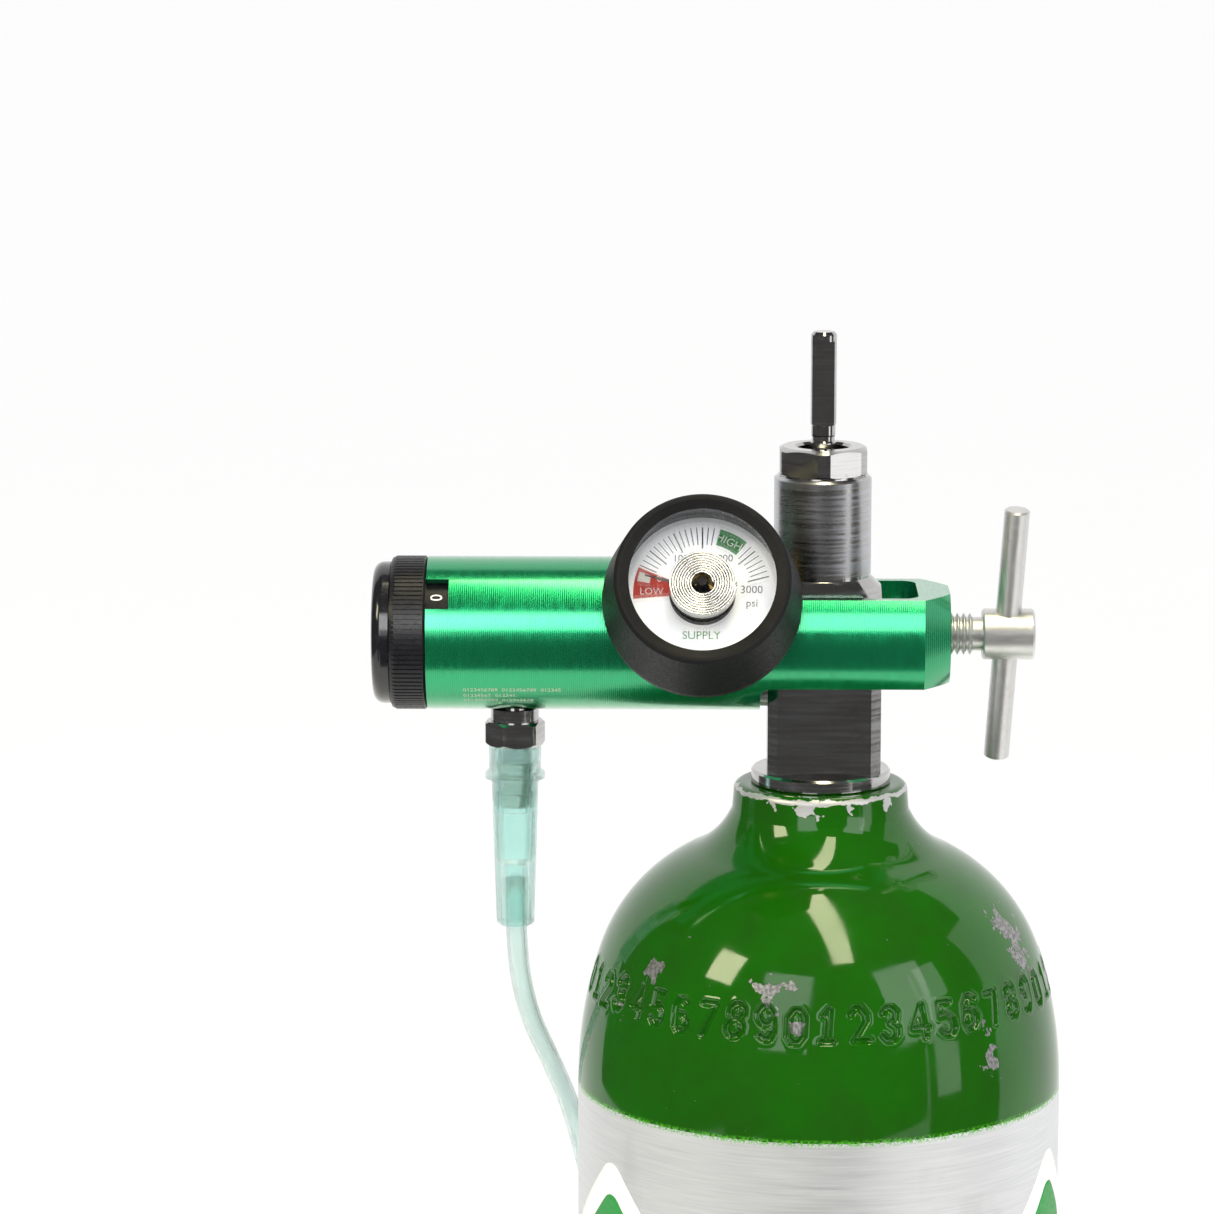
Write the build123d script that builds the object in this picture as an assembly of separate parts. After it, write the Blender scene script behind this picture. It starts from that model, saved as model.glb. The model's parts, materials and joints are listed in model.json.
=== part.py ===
from build123d import *

import math
import os

# Medical oxygen cylinder with a pin-index post valve, a click-style flow regulator clamped to it
# by a yoke, and a nasal cannula on the outlet.  Millimetres.  The origin is the centre of the
# cylinder's base on the floor, +Z runs up the cylinder, -X points to the flow knob and -Y to the
# front, where the pressure gauge faces.

# ---------------------------------------------------------------- driving dimensions
# Cylinder
SHELL_R = 55.6
SHELL_HEIGHT = 650.0
SHELL_WALL = 5.2
BASE_CORNER_R = 14.0
NECK_BORE_R = 9.5

# Post valve
FLANGE_R = 15.9
FLANGE_H = 3.2
POST_X = 25.7
POST_Y = 22.2
POST_OFFSET_X = 0.5
POST_TOP = SHELL_HEIGHT + 48.0
VALVE_NECK_R = 11.05
VALVE_NECK_TOP = SHELL_HEIGHT + 71.0
NUT_AF = 19.7
NUT_OD = 21.3
STEM_R = 2.93
STEM_FLATS = 3.4
STEM_TOP = SHELL_HEIGHT + 103.6
PLUG_BORE_R = 5.5
SEAT_Z = 676.0

# Regulator, turned about an axis parallel to X
BARREL_Z = 684.3
BARREL_R = 17.45
BARREL_LEFT = -89.6
BARREL_RIGHT = -14.1
YOKE_HALF_H = 10.2
YOKE_CONE_X = 22.8
YOKE_END_X = 28.9
YOKE_END_R = 11.5
SLOT_HALF_W = 11.5
SLOT_RIGHT = 21.6
SLOT_CORNER_R = 3.5
SLEEVE_R = 12.5
SLEEVE_BORE_R = 11.0
DRUM_R = 15.4
PISTON_LEFT = -65.0
HP_BORE_R = 5.5

# Knob
KNOB_R = 17.5
KNOB_LEFT = -98.1
CAP_R = 16.15
CAP_LEFT = -102.0
KNOB_RIBS = 95
FLOW_STEPS = 12

# Gauge: stations are distances from the barrel's axis along the gauge's own axis
GAUGE_X = -27.3
GAUGE_TILT = 27.0
DIAL_S = 31.5
LENS_S = 41.9
CASE_R = 18.6
LENS_R = 17.6
COIL_TURNS = 9
COIL_R = 7.2
COIL_HUB_R = 2.1
ZERO_ANGLE = 165.0

# Outlet and tubing connector
OUTLET_X = -70.0
CONNECTOR_TOP = 659.8
CONNECTOR_BOTTOM = 616.2

# Yoke screw
SCREW_R = 4.76
THREAD_PITCH = 1.4
THREAD_DEPTH = 0.9
HUB_LEFT = 36.5
HUB_RIGHT = 48.3
HUB_R = 5.8
T_BAR_R = 2.9
T_BAR_LENGTH = 60.0

# Cannula
TUBE_R = 2.4
LARIAT_R = 1.6
RING_X = -34.0
RING_Y = 113.0
RING_OUTER_R = 60.0
RING_INNER_R = 36.8
RING_H = 5.2
THIN_OUTER_R = 53.0
THIN_INNER_R = 40.0
NOSEPIECE_R = 50.5

FIT = 0.02          # radial clearance between parts that are screwed or pressed together
RUN = 0.05          # radial clearance between parts that move on each other

# ---------------------------------------------------------------- frames
BARREL = Location((0, 0, BARREL_Z), (0, 90, 0))          # local +Z runs along world +X
GAUGE = Location((GAUGE_X, 0, BARREL_Z), (90 - GAUGE_TILT, 0, 0))
POST = Location((POST_OFFSET_X, 0, 0))


def turned(points, place=Location()):
    """Solid of revolution about the local Z axis from (radius, height) points."""
    return place * revolve(make_face(Plane.XZ * Polyline(*points, close=True)), Axis.Z)


def disc(radius, low, high, place=Location(), centre=(0, 0)):
    """Round bar between two heights of the local Z axis."""
    bar = Cylinder(radius, high - low, align=(Align.CENTER, Align.CENTER, Align.MIN))
    return place * Location((centre[0], centre[1], low)) * bar


def ring(outer, inner, low, high, place=Location()):
    return turned([(inner, low), (outer, low), (outer, high), (inner, high)], place)


def slab(x, y, z):
    """Box between (low, high) pairs on the three axes."""
    size = (x[1] - x[0], y[1] - y[0], z[1] - z[0])
    middle = ((x[0] + x[1]) / 2, (y[0] + y[1]) / 2, (z[0] + z[1]) / 2)
    return Location(middle) * Box(*size)


def hexagon(across_flats, low, high, place=Location(), turn=0):
    face = RegularPolygon(across_flats / 2, 6, major_radius=False, rotation=turn)
    return place * Location((0, 0, low)) * extrude(face, high - low)


def o_ring(mean_r, section_r, height, place=Location()):
    return place * Location((0, 0, height)) * Torus(mean_r, section_r)


def save(name, shape):
    shape.label = name
    export_step(shape, f"parts/{name}.step")


# ---------------------------------------------------------------- cylinder
def cylinder_shell():
    outer_r, top = SHELL_R, SHELL_HEIGHT
    with BuildPart() as shell:
        with BuildSketch(Plane.XZ):
            with BuildLine():
                Line((0, 0), (outer_r - BASE_CORNER_R, 0))
                corner = TangentArc((outer_r - BASE_CORNER_R, 0), (outer_r, BASE_CORNER_R), tangent=(1, 0))
                Line(corner @ 1, (outer_r, top - 70))
                low_dome = TangentArc((outer_r, top - 70), (50.6, top - 39.5), tangent=(0, 1))
                high_dome = TangentArc(low_dome @ 1, (29.5, top - 15.8), tangent=low_dome % 1)
                neck = TangentArc(high_dome @ 1, (20.2, top - 6), tangent=high_dome % 1)
                Line(neck @ 1, (19.9, top - 1.8))
                rim = TangentArc((19.9, top - 1.8), (18.1, top), tangent=(0, 1))
                Line(rim @ 1, (12.3, top))
                Line((12.3, top), (NECK_BORE_R, top - 3))
                Line((NECK_BORE_R, top - 3), (NECK_BORE_R, top - 28))
                throat = TangentArc((NECK_BORE_R, top - 28), (22, top - 31), tangent=(0.9, -0.1))
                inner = outer_r - SHELL_WALL
                dome = TangentArc(throat @ 1, (inner, top - 72), tangent=throat % 1)
                Line(dome @ 1, (inner, BASE_CORNER_R + 8))
                Line((inner, BASE_CORNER_R + 8), (inner - 10, 10.0))
                Line((inner - 10, 10.0), (0, 10.0))
                Line((0, 10.0), (0, 0))
            make_face()
        revolve(axis=Axis.Z)
    return shell.part


def neck_oring():
    return o_ring(10.33, 0.82, SHELL_HEIGHT - 0.84)


# ---------------------------------------------------------------- post valve
def valve_body():
    top = SHELL_HEIGHT
    shank = disc(NECK_BORE_R - FIT, top - 24, top)
    flange = turned([(0, top), (FLANGE_R - 0.3, top), (FLANGE_R, top + 0.3),
                     (FLANGE_R, top + FLANGE_H - 0.5), (FLANGE_R - 0.5, top + FLANGE_H), (0, top + FLANGE_H)])
    block = slab((-POST_X / 2, POST_X / 2), (-POST_Y / 2, POST_Y / 2), (top + FLANGE_H, POST_TOP))
    block = POST * chamfer(block.edges().filter_by(Axis.Z), 2.3)
    crown = turned([(0, top), (24, top), (24, POST_TOP - 12.95), (VALVE_NECK_R, POST_TOP), (0, POST_TOP)])
    neck = turned([(0, POST_TOP - 5), (VALVE_NECK_R, POST_TOP - 5), (VALVE_NECK_R, VALVE_NECK_TOP - 0.7),
                   (VALVE_NECK_R - 0.7, VALVE_NECK_TOP), (0, VALVE_NECK_TOP)])
    body = shank + flange + (block & crown) + neck
    # Gas way up to the seat, the raised seat lip, the plug's bore and the packing nut's thread
    body -= disc(2.0, top - 25, SEAT_Z + 3)
    body -= disc(PLUG_BORE_R, SEAT_Z, VALVE_NECK_TOP - 12)
    body += ring(3.2, 2.0, SEAT_Z - 0.5, SEAT_Z + 1.4)
    body -= disc(8.5, VALVE_NECK_TOP - 10, VALVE_NECK_TOP + 1)
    body -= disc(6.2, VALVE_NECK_TOP - 13, VALVE_NECK_TOP - 9)
    # Outlet port on the -X face, with its two index pin holes, and the screw's dimple on +X
    face_left = POST_OFFSET_X - POST_X / 2
    body -= disc(3.7, face_left - 1, face_left + 4, BARREL)
    body -= disc(2.0, face_left, -4, BARREL)
    for y, z in pin_places():
        body -= Location((0, y, z)) * Location((0, 0, 0), (0, 90, 0)) * disc(2.6, face_left - 1, face_left + 7)
    face_right = POST_OFFSET_X + POST_X / 2
    body -= turned([(0, face_right - 3), (3.6, face_right + 0.6), (0, face_right + 0.6)], BARREL)
    # Safety relief port at the back
    back = Location((POST_OFFSET_X, POST_Y / 2, top + 13), (-90, 0, 0))
    body -= back * disc(4.8, -6, 1)
    body -= back * disc(1.5, -12, -5)
    return body


def pin_places():
    """Index pins of an oxygen post: 14.3 mm from the outlet, 18 degrees either side of straight down."""
    reach, spread = 14.3, math.radians(18)
    return [(side * reach * math.sin(spread), BARREL_Z - reach * math.cos(spread)) for side in (-1, 1)]


def packing_nut():
    low = VALVE_NECK_TOP
    head_low, head_high = low + 0.45, low + 6.6
    hex_head = hexagon(NUT_AF, head_low, head_high, turn=30)
    outer = turned([(0, head_low), (NUT_OD / 2 - 0.5, head_low), (NUT_OD / 2, head_low + 0.3),
                    (NUT_OD / 2, head_high - 0.75), (NUT_OD / 2 - 1.5, head_high), (0, head_high)])
    collar = disc(9.4, low, head_low + 0.1)
    spigot = disc(8.5 - FIT, low - 9, low)
    nut = (hex_head & outer) + collar + spigot
    nut -= disc(3.1, low - 10, head_high)
    nut -= disc(5.95, low - 2, head_high + 1)
    nut -= turned([(0, head_high - 0.6), (5.95, head_high - 0.6), (6.6, head_high + 0.05), (0, head_high + 0.05)])
    return nut


def stem_packing():
    return ring(6.15, STEM_R + RUN, VALVE_NECK_TOP - 12.9, VALVE_NECK_TOP - 9.02)


def valve_spindle():
    neck, foot = VALVE_NECK_TOP, VALVE_NECK_TOP - 24
    profile = [(0, foot + 6), (4.6, foot + 6), (4.6, neck - 13.1), (STEM_R, neck - 13.1), (STEM_R, neck + 4.2),
               (2.3, neck + 4.9), (2.3, neck + 5.6), (2.9, neck + 6.0), (2.9, neck + 7.4), (2.6, neck + 7.8),
               (2.6, neck + 8.8), (2.75, neck + 9.1), (2.75, neck + 11.3), (STEM_R, neck + 11.6),
               (STEM_R, STEM_TOP - 0.7), (STEM_R - 0.6, STEM_TOP), (0, STEM_TOP)]
    stem = turned(profile)
    for side in (-1, 1):
        near, far = STEM_FLATS / 2, 4.0
        band = (near, far) if side > 0 else (-far, -near)
        stem -= slab((-4, 4), band, (neck + 11.45, STEM_TOP - 2.1))
    # The tongue that turns the plug and lets it slide
    return stem + slab((-3.4, 3.4), (-1.2, 1.2), (foot, foot + 6))


def valve_plug():
    low = SEAT_Z + 1.45
    plug = turned([(0, low), (3.5, low), (3.5, 688.0), (PLUG_BORE_R - RUN, 689.0), (PLUG_BORE_R - RUN, 699.0),
                   (PLUG_BORE_R - 0.5, 699.6), (0, 699.6)])
    plug -= slab((-3.5, 3.5), (-1.3, 1.3), (692.0, 700.0))
    return plug - disc(3.0, low - 1, low + 1.2)


def plug_seat():
    return disc(3.0 - FIT, SEAT_Z + 1.47, SEAT_Z + 2.6)


def relief_plug():
    back = Location((POST_OFFSET_X, POST_Y / 2, SHELL_HEIGHT + 13), (-90, 0, 0))
    plug = back * disc(4.8 - FIT, -4.9, 0.1) + back * (hexagon(11, 0.05, 5) & turned(
        [(0, 0), (6.1, 0), (6.1, 4.3), (5.3, 5.0), (0, 5.0)]))
    plug -= back * disc(1.5, -6, 3)
    plug -= Location((POST_OFFSET_X, POST_Y / 2 + 2.6, SHELL_HEIGHT + 13)) * Cylinder(1.1, 20, rotation=(0, 90, 0))
    return plug


def burst_disc():
    back = Location((POST_OFFSET_X, POST_Y / 2, SHELL_HEIGHT + 13), (-90, 0, 0))
    return back * disc(4.7, -5.95, -4.95)


# ---------------------------------------------------------------- regulator body and insides
def regulator_body():
    outline = [(0, BARREL_LEFT), (BARREL_R, BARREL_LEFT), (BARREL_R, YOKE_CONE_X),
               (YOKE_END_R, YOKE_END_X), (0, YOKE_END_X)]
    body = turned(outline, BARREL)
    # The yoke is the same bar milled flat above and below, with a rounded root at the step
    for side in (-1, 1):
        root = BARREL_Z + side * YOKE_HALF_H
        outside = root + side * 20
        cut = slab((BARREL_RIGHT, 60), (-30, 30), (min(root, outside), max(root, outside)))
        cut = fillet(cut.edges().filter_by(Axis.Y).sort_by(Axis.X)[0:2].sort_by(Axis.Z)[0 if side > 0 else -1], 2.4)
        body -= cut
    slot_length = SLOT_RIGHT - BARREL_RIGHT
    slot = Location(((SLOT_RIGHT + BARREL_RIGHT) / 2, 0, BARREL_Z - 30)) * extrude(
        RectangleRounded(slot_length, 2 * SLOT_HALF_W, SLOT_CORNER_R), 60)
    body -= slot
    # Bores from the knob end: number drum, brass sleeve, piston stem, then the inlet nozzle's thread
    body -= disc(DRUM_R + 0.3, BARREL_LEFT - 1, -83.0, BARREL)
    body -= disc(SLEEVE_R, -84.0, -43.0, BARREL)
    body -= disc(3.05, -44.0, -37.0, BARREL)
    body -= disc(HP_BORE_R, -38.0, BARREL_RIGHT + 1, BARREL)
    # Flow window over the number drum, 41 degrees above the front
    window = Location((0, 0, BARREL_Z), (-41, 0, 0)) * slab((BARREL_LEFT - 1, -84.4), (-20, -14), (-3.9, 3.9))
    body -= window
    body -= disc(4.9, 4.0, 20, GAUGE)
    body -= turned([(0, 17.0), (9.0, 17.0), (9.0, 22.0), (0, 22.0)], GAUGE)
    body -= Location((OUTLET_X, 0, BARREL_Z), (180, 0, 0)) * disc(3.6, 12, 20)
    for y, z in pin_places():
        body -= Location((0, y, z)) * Location((0, 0, 0), (0, 90, 0)) * disc(2.37, -23, BARREL_RIGHT + 1)
    body -= disc(SCREW_R + RUN, 10, YOKE_END_X + 1, BARREL)
    return body


def brass_sleeve():
    sleeve = ring(SLEEVE_R - FIT, SLEEVE_BORE_R, -83.0, -43.0, BARREL)
    return sleeve - Location((OUTLET_X, 0, BARREL_Z), (180, 0, 0)) * disc(2.0, 5, 20)


def inlet_nozzle():
    bore = HP_BORE_R - FIT
    outline = [(0, -35.5), (2.5, -35.5), (2.5, -33.0), (bore, -33.0), (bore, -30.0), (3.6, -30.0), (3.6, -24.6),
               (bore, -24.6), (bore, BARREL_RIGHT), (3.5, BARREL_RIGHT), (3.5, -9.9), (3.1, -9.4), (0, -9.4)]
    nozzle = turned(outline, BARREL)
    nozzle -= disc(0.6, -36, -30, BARREL)
    nozzle -= disc(1.5, -31, -18, BARREL)
    nozzle -= disc(2.5, -18.5, -9, BARREL)
    return nozzle - Location((GAUGE_X, 0, BARREL_Z)) * Cylinder(0.8, 20)


def inlet_filter():
    return disc(2.5 - FIT, -18.4, -12.0, BARREL)


def yoke_washer():
    return ring(7.2, 3.75, BARREL_RIGHT + 0.02, POST_OFFSET_X - POST_X / 2 - 0.02, BARREL)


def index_pins():
    pins = []
    for y, z in pin_places():
        place = Location((0, y, z)) * Location((0, 0, 0), (0, 90, 0))
        pins.append(turned([(0, -22.5), (2.35, -22.5), (2.35, -9.0), (1.8, -8.2), (0, -8.2)], place))
    return Compound(children=pins)


def piston():
    head_l, head_r = PISTON_LEFT + RUN, -60.0
    outline = [(0, head_l), (SLEEVE_BORE_R - RUN, head_l), (SLEEVE_BORE_R - RUN, -63.6), (9.2, -63.6), (9.2, -61.4),
               (SLEEVE_BORE_R - RUN, -61.4), (SLEEVE_BORE_R - RUN, head_r), (3.0, head_r), (3.0, -36.5), (0, -36.5)]
    body = turned(outline, BARREL)
    # The seat insert's pocket, the two cross holes behind it and the way back to the head
    body -= disc(1.9, -38.0, -36.0, BARREL)
    body -= disc(1.1, -66, -40.0, BARREL)
    return body - Location((-40.6, 0, BARREL_Z)) * Cylinder(0.6, 8, rotation=(90, 0, 0))


def piston_oring():
    return o_ring(10.08, 0.86, -62.5, BARREL)


def piston_seat():
    return disc(1.9 - FIT, -37.98, -36.5, BARREL)


def piston_spring():
    """Compression spring between the piston head and the body's step, as long as the gap it fills."""
    wire_r, coil_r, low, high = 0.95, 7.4, -60.0, -43.0
    rise = (high - low - 2 * wire_r - 0.04) / 4.0
    path = Helix(pitch=rise, height=rise * 4.0, radius=coil_r)
    wire = sweep(Plane(origin=path @ 0, z_dir=path % 0) * Circle(wire_r), path=path, is_frenet=True)
    return BARREL * Location((0, 0, low + wire_r + 0.02)) * wire


def flow_block():
    block = turned([(0, -75.8), (SLEEVE_BORE_R - FIT, -75.8), (SLEEVE_BORE_R - FIT, -72), (9.0, -72), (9.0, -68),
                    (SLEEVE_BORE_R - FIT, -68), (SLEEVE_BORE_R - FIT, PISTON_LEFT), (0, PISTON_LEFT)], BARREL)
    block -= disc(3.05, -77, -69, BARREL)
    block -= disc(0.9, -77, -64, BARREL, centre=(-6.0, 0))
    for turn in range(0, 360, 60):
        block -= BARREL * Location((0, 0, 0), (0, 0, turn + 30)) * slab((9.6, 12), (-1.5, 1.5), (-77, -71.5))
    return block


def orifice_plate():
    """Turns with the selector; each click brings the next, larger orifice to the feed hole."""
    plate = ring(9.3, 2.9, -78.85, -75.85, BARREL)
    for step in range(1, FLOW_STEPS):
        angle = math.radians(180 - 30 * step)
        at = (6.0 * math.cos(angle), 6.0 * math.sin(angle))
        plate -= disc(0.15 + 0.06 * step, -80, -75, BARREL, centre=at)
    for step in range(FLOW_STEPS):
        angle = math.radians(30 * step)
        dimple = Location((8.0 * math.cos(angle), 8.0 * math.sin(angle), -79.6)) * Sphere(1.2)
        plate -= BARREL * dimple
    return plate


def selector_shaft():
    shaft = disc(3.0, -97.0, -69.6, BARREL)
    shaft -= ring(3.2, 2.9, -78.85, -75.85, BARREL)
    return shaft


def end_plug():
    plug = ring(DRUM_R - 3.6, 3.05, -83.6, -83.0, BARREL) + ring(SLEEVE_BORE_R - FIT, 3.05, -83.0, -79.3, BARREL)
    for side in (-1, 1):
        plug -= disc(1.15, -82.6, -79, BARREL, centre=(side * 8.0, 0))
    return plug


def detent_balls():
    balls = [BARREL * Location((side * 8.0, 0, -80.0)) * Sphere(1.08) for side in (-1, 1)]
    return Compound(children=balls)


def flow_knob():
    """Ribbed grip ring with its end wall and hub."""
    grip = turned([(16.6, BARREL_LEFT - 0.15), (KNOB_R - 0.5, BARREL_LEFT - 0.15), (KNOB_R, BARREL_LEFT - 0.6),
                   (KNOB_R, KNOB_LEFT + 1.4), (KNOB_R - 0.5, KNOB_LEFT + 0.4), (KNOB_R - 1.5, KNOB_LEFT),
                   (3.02, KNOB_LEFT), (3.02, KNOB_LEFT + 2.2), (16.6, KNOB_LEFT + 2.2)], BARREL)
    hub = ring(7.0, 3.02, KNOB_LEFT + 2.1, -84.2, BARREL)
    groove = slab((KNOB_R - 0.32, KNOB_R + 1), (-0.17, 0.17), (KNOB_LEFT + 0.9, BARREL_LEFT - 0.75))
    grooves = [BARREL * Location((0, 0, 0), (0, 0, 360 * i / KNOB_RIBS)) * groove for i in range(KNOB_RIBS)]
    return grip + hub - grooves


def indicator_drum():
    return ring(DRUM_R, 7.02, -95.8, -84.0, BARREL)


def knob_cap():
    with BuildPart() as cap:
        with BuildSketch(Plane.XZ):
            with BuildLine():
                Line((0, CAP_LEFT), (CAP_R - 2.4, CAP_LEFT))
                edge = TangentArc((CAP_R - 2.4, CAP_LEFT), (CAP_R, CAP_LEFT + 2.4), tangent=(1, 0))
                Line(edge @ 1, (CAP_R, KNOB_LEFT))
                Line((CAP_R, KNOB_LEFT), (5.0, KNOB_LEFT))
                Line((5.0, KNOB_LEFT), (5.0, KNOB_LEFT - 1.6))
                Line((5.0, KNOB_LEFT - 1.6), (0, KNOB_LEFT - 1.6))
                Line((0, KNOB_LEFT - 1.6), (0, CAP_LEFT))
            make_face()
        revolve(axis=Axis.Z)
    return BARREL * cap.part


def knob_screw():
    return disc(4.4, KNOB_LEFT - 1.5, KNOB_LEFT - 0.02, BARREL)


# ---------------------------------------------------------------- gauge
def gauge_socket():
    socket = turned([(0, 5.6), (4.9 - FIT, 5.6), (4.9 - FIT, 17.0), (0, 17.0)], GAUGE)
    socket += hexagon(12.7, 17.0, 25.4, GAUGE)
    socket += disc(3.6, 25.3, 27.4, GAUGE)
    return socket - disc(1.0, 5, 26.6, GAUGE)


def gauge_case():
    return turned([(3.62, 25.4), (CASE_R, 25.4), (CASE_R, LENS_S - 0.3), (LENS_R + 0.1, LENS_S - 0.3),
                   (LENS_R + 0.1, 26.4), (3.62, 26.4)], GAUGE)


def gauge_dial():
    return ring(LENS_R, COIL_R + 0.2, DIAL_S - 0.6, DIAL_S, GAUGE)


def bourdon_coil():
    """Flat spiral pressure tube on its riser from the socket, in front of the dial."""
    pitch, wall, low, high = (COIL_R - COIL_HUB_R) / COIL_TURNS, 0.36, 37.2, 40.0
    steps = COIL_TURNS * 12

    def spiral(offset):
        for i in range(steps + 1):
            angle = 2 * math.pi * i / 12
            radius = COIL_HUB_R + offset + pitch * i / 12
            yield (radius * math.cos(angle), radius * math.sin(angle))
    inner, outer = list(spiral(0.05)), list(spiral(0.05 + wall))
    edge_in, edge_out = Spline(*inner), Spline(*outer)
    outline = [edge_in, Line(inner[-1], outer[-1]), edge_out, Line(outer[0], inner[0])]
    strip = extrude(make_face(outline), high - low)
    riser = slab((COIL_R - 0.85, COIL_R - 0.05), (-1.4, 1.4), (28.4, 37.3))
    foot = slab((1.4, COIL_R - 0.05), (-1.4, 1.4), (27.42, 28.6))
    return GAUGE * (Location((0, 0, low)) * strip + riser + foot)


def gauge_pointer():
    """Needle at rest on the zero mark, on the staff that the spiral's inner end turns."""
    needle = extrude(make_face(Polyline((-4.5, -0.75), (-4.5, 0.75), (13.2, 0.16), (13.2, -0.16), close=True)), 0.3)
    turn = Location((0, 0, 0), (0, 0, ZERO_ANGLE))
    return GAUGE * (turn * Location((0, 0, 34.0)) * needle + disc(0.9, 33.2, 40.4) + disc(1.7, 33.7, 34.6))


def gauge_lens():
    """Clear cup: the window, with a skirt that stands on the dial."""
    return turned([(0, LENS_S - 0.9), (LENS_R - 1.4, LENS_S - 0.9), (LENS_R - 1.4, DIAL_S + 0.02),
                   (LENS_R, DIAL_S + 0.02), (LENS_R, LENS_S - 0.3), (LENS_R + 0.6, LENS_S - 0.28),
                   (LENS_R + 0.6, LENS_S), (15.8, LENS_S + 0.35), (0, LENS_S + 0.35)], GAUGE)


def gauge_boot():
    return turned([(9.0, 24.6), (21.6, 24.6), (22.35, 25.6), (22.3, 27.2), (19.6, LENS_S + 0.6), (18.9, LENS_S + 1.2),
                   (18.3, LENS_S + 1.2), (16.3, LENS_S + 0.45), (16.3, LENS_S + 0.36), (17.8, LENS_S + 0.33),
                   (CASE_R + 0.02, LENS_S), (CASE_R + 0.02, 25.38), (9.0, 25.38)], GAUGE)


# ---------------------------------------------------------------- outlet
def outlet_barb():
    """Hex nipple under the barrel; heights are world Z."""
    place = Location((OUTLET_X, 0, 0))
    collar_top = BARREL_Z - BARREL_R + 0.1
    outline = [(0, 643.8), (3.3, 643.8), (4.2, 647.0), (3.7, 647.2), (4.3, 650.6), (3.8, 650.8), (4.4, 654.2),
               (3.9, 654.4), (3.9, 658.5), (0, 658.5)]
    nipple = turned(outline, place)
    nipple += hexagon(12.4, 658.4, 664.0, place, turn=12) & turned(
        [(0, 658), (6.3, 658.4), (6.9, 659.0), (6.9, 663.4), (6.3, 664.0), (0, 664.0)], place)
    nipple += disc(5.5, 663.9, collar_top, place) - Location((OUTLET_X, 0, BARREL_Z)) * Cylinder(
        BARREL_R + FIT, 30, rotation=(0, 90, 0))
    nipple += disc(3.6 - FIT, collar_top - 1, BARREL_Z - SLEEVE_R - 0.3, place)
    return nipple - disc(1.6, 640, BARREL_Z, place)


def tubing_connector():
    """Soft tapered cuff: wide cup with a lip over the nipple, narrow ribbed socket for the tube."""
    place = Location((OUTLET_X, 0, 0))
    top, low = CONNECTOR_TOP - 1.6, CONNECTOR_BOTTOM
    cuff = turned([(4.6, top), (5.7, top), (6.0, top - 0.5), (5.9, 652.6), (6.8, 651.8), (6.8, 650.6), (5.5, 650.0),
                   (5.35, 649.0), (4.35, low + 0.4), (4.0, low), (2.42, low), (2.42, 630.4), (3.6, 632.0),
                   (4.1, 642.8), (4.6, 643.2)], place)
    for turn in range(0, 360, 90):
        rib = slab((4.0, 5.5), (-0.5, 0.5), (633.0, 648.0))
        cuff += place * Location((0, 0, 0), (0, 0, turn + 45)) * rib & turned(
            [(3.4, 633.0), (5.05, 633.0), (5.55, 648.0), (4.2, 648.0)], place)
    return cuff


# ---------------------------------------------------------------- yoke screw
def screw_tip():
    """Thrust point that stays still in the dimple while the screw turns behind it."""
    face = POST_OFFSET_X + POST_X / 2
    return turned([(0, face - 2.6), (2.7, face + 0.2), (3.0, face + 1.0), (3.0, face + 2.6), (1.5, face + 2.7),
                   (1.5, face + 5.0), (2.3, face + 5.1), (2.3, face + 6.0), (0, face + 6.0)], BARREL)


def yoke_screw():
    face = POST_OFFSET_X + POST_X / 2
    crest, root = SCREW_R, SCREW_R - THREAD_DEPTH
    start, turns = face + 2.8, int((HUB_LEFT - 2.0 - face - 3.6) / THREAD_PITCH)
    profile = [(0, start), (root, start)]
    for i in range(turns):
        x = start + 1.5 + THREAD_PITCH * i
        profile += [(root, x + 0.1), (crest, x + 0.6), (crest, x + 0.7), (root, x + 1.2)]
    profile += [(root, HUB_LEFT), (HUB_R - 0.4, HUB_LEFT), (HUB_R, HUB_LEFT + 0.4), (HUB_R, HUB_RIGHT - 0.5),
                (HUB_R - 0.5, HUB_RIGHT), (0, HUB_RIGHT)]
    screw = turned(profile, BARREL)
    screw -= disc(1.5 + RUN, start - 1, start + 3, BARREL)
    screw -= disc(2.3 + RUN, face + 5.0, face + 6.1, BARREL)
    return screw - T_BAR * disc(T_BAR_R, -20, 20)


T_BAR = Location(((HUB_LEFT + HUB_RIGHT) / 2 - 0.3, 0, BARREL_Z), (10, 3.2, 0))


def t_bar():
    bar = Cylinder(T_BAR_R - FIT, T_BAR_LENGTH)
    return T_BAR * chamfer(bar.edges().filter_by(GeomType.CIRCLE), 0.35)


# ---------------------------------------------------------------- cannula
# Free tube from the connector down behind the cylinder to the coil on the floor
SUPPLY_ROUTE = [
    (-70.0, 0.0, 627.0), (-70.0, 0.0, 610.5), (-67.6, 4.8, 594.2), (-62.4, 12.0, 580.5), (-57.4, 23.0, 565.0),
    (-52.6, 34.6, 541.0), (-48.4, 40.6, 503.0), (-44.6, 44.8, 456.0), (-41.1, 48.0, 401.0), (-37.9, 50.6, 344.0),
    (-35.0, 52.8, 287.0), (-32.4, 54.6, 229.0), (-30.2, 56.2, 172.0), (-28.5, 57.6, 118.0), (-27.4, 58.4, 77.0),
    (-26.8, 58.7, 46.0), (-27.2, 58.0, 23.0), (-34.9, 56.6, 10.1), (-47.8, 57.0, 2.4), (-61.6, 63.0, 2.4)]

# Inner end of the supply tube, from the coil to the slide
TAIL_ROUTE = [(-27.1, 152.2, 2.4), (-17.6, 148.6, 2.4), (-11.4, 141.2, 2.4), (-10.3, 131.8, 2.8),
              (-14.4, 122.9, 3.8), (-19.7, 114.4, 4.5)]

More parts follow.
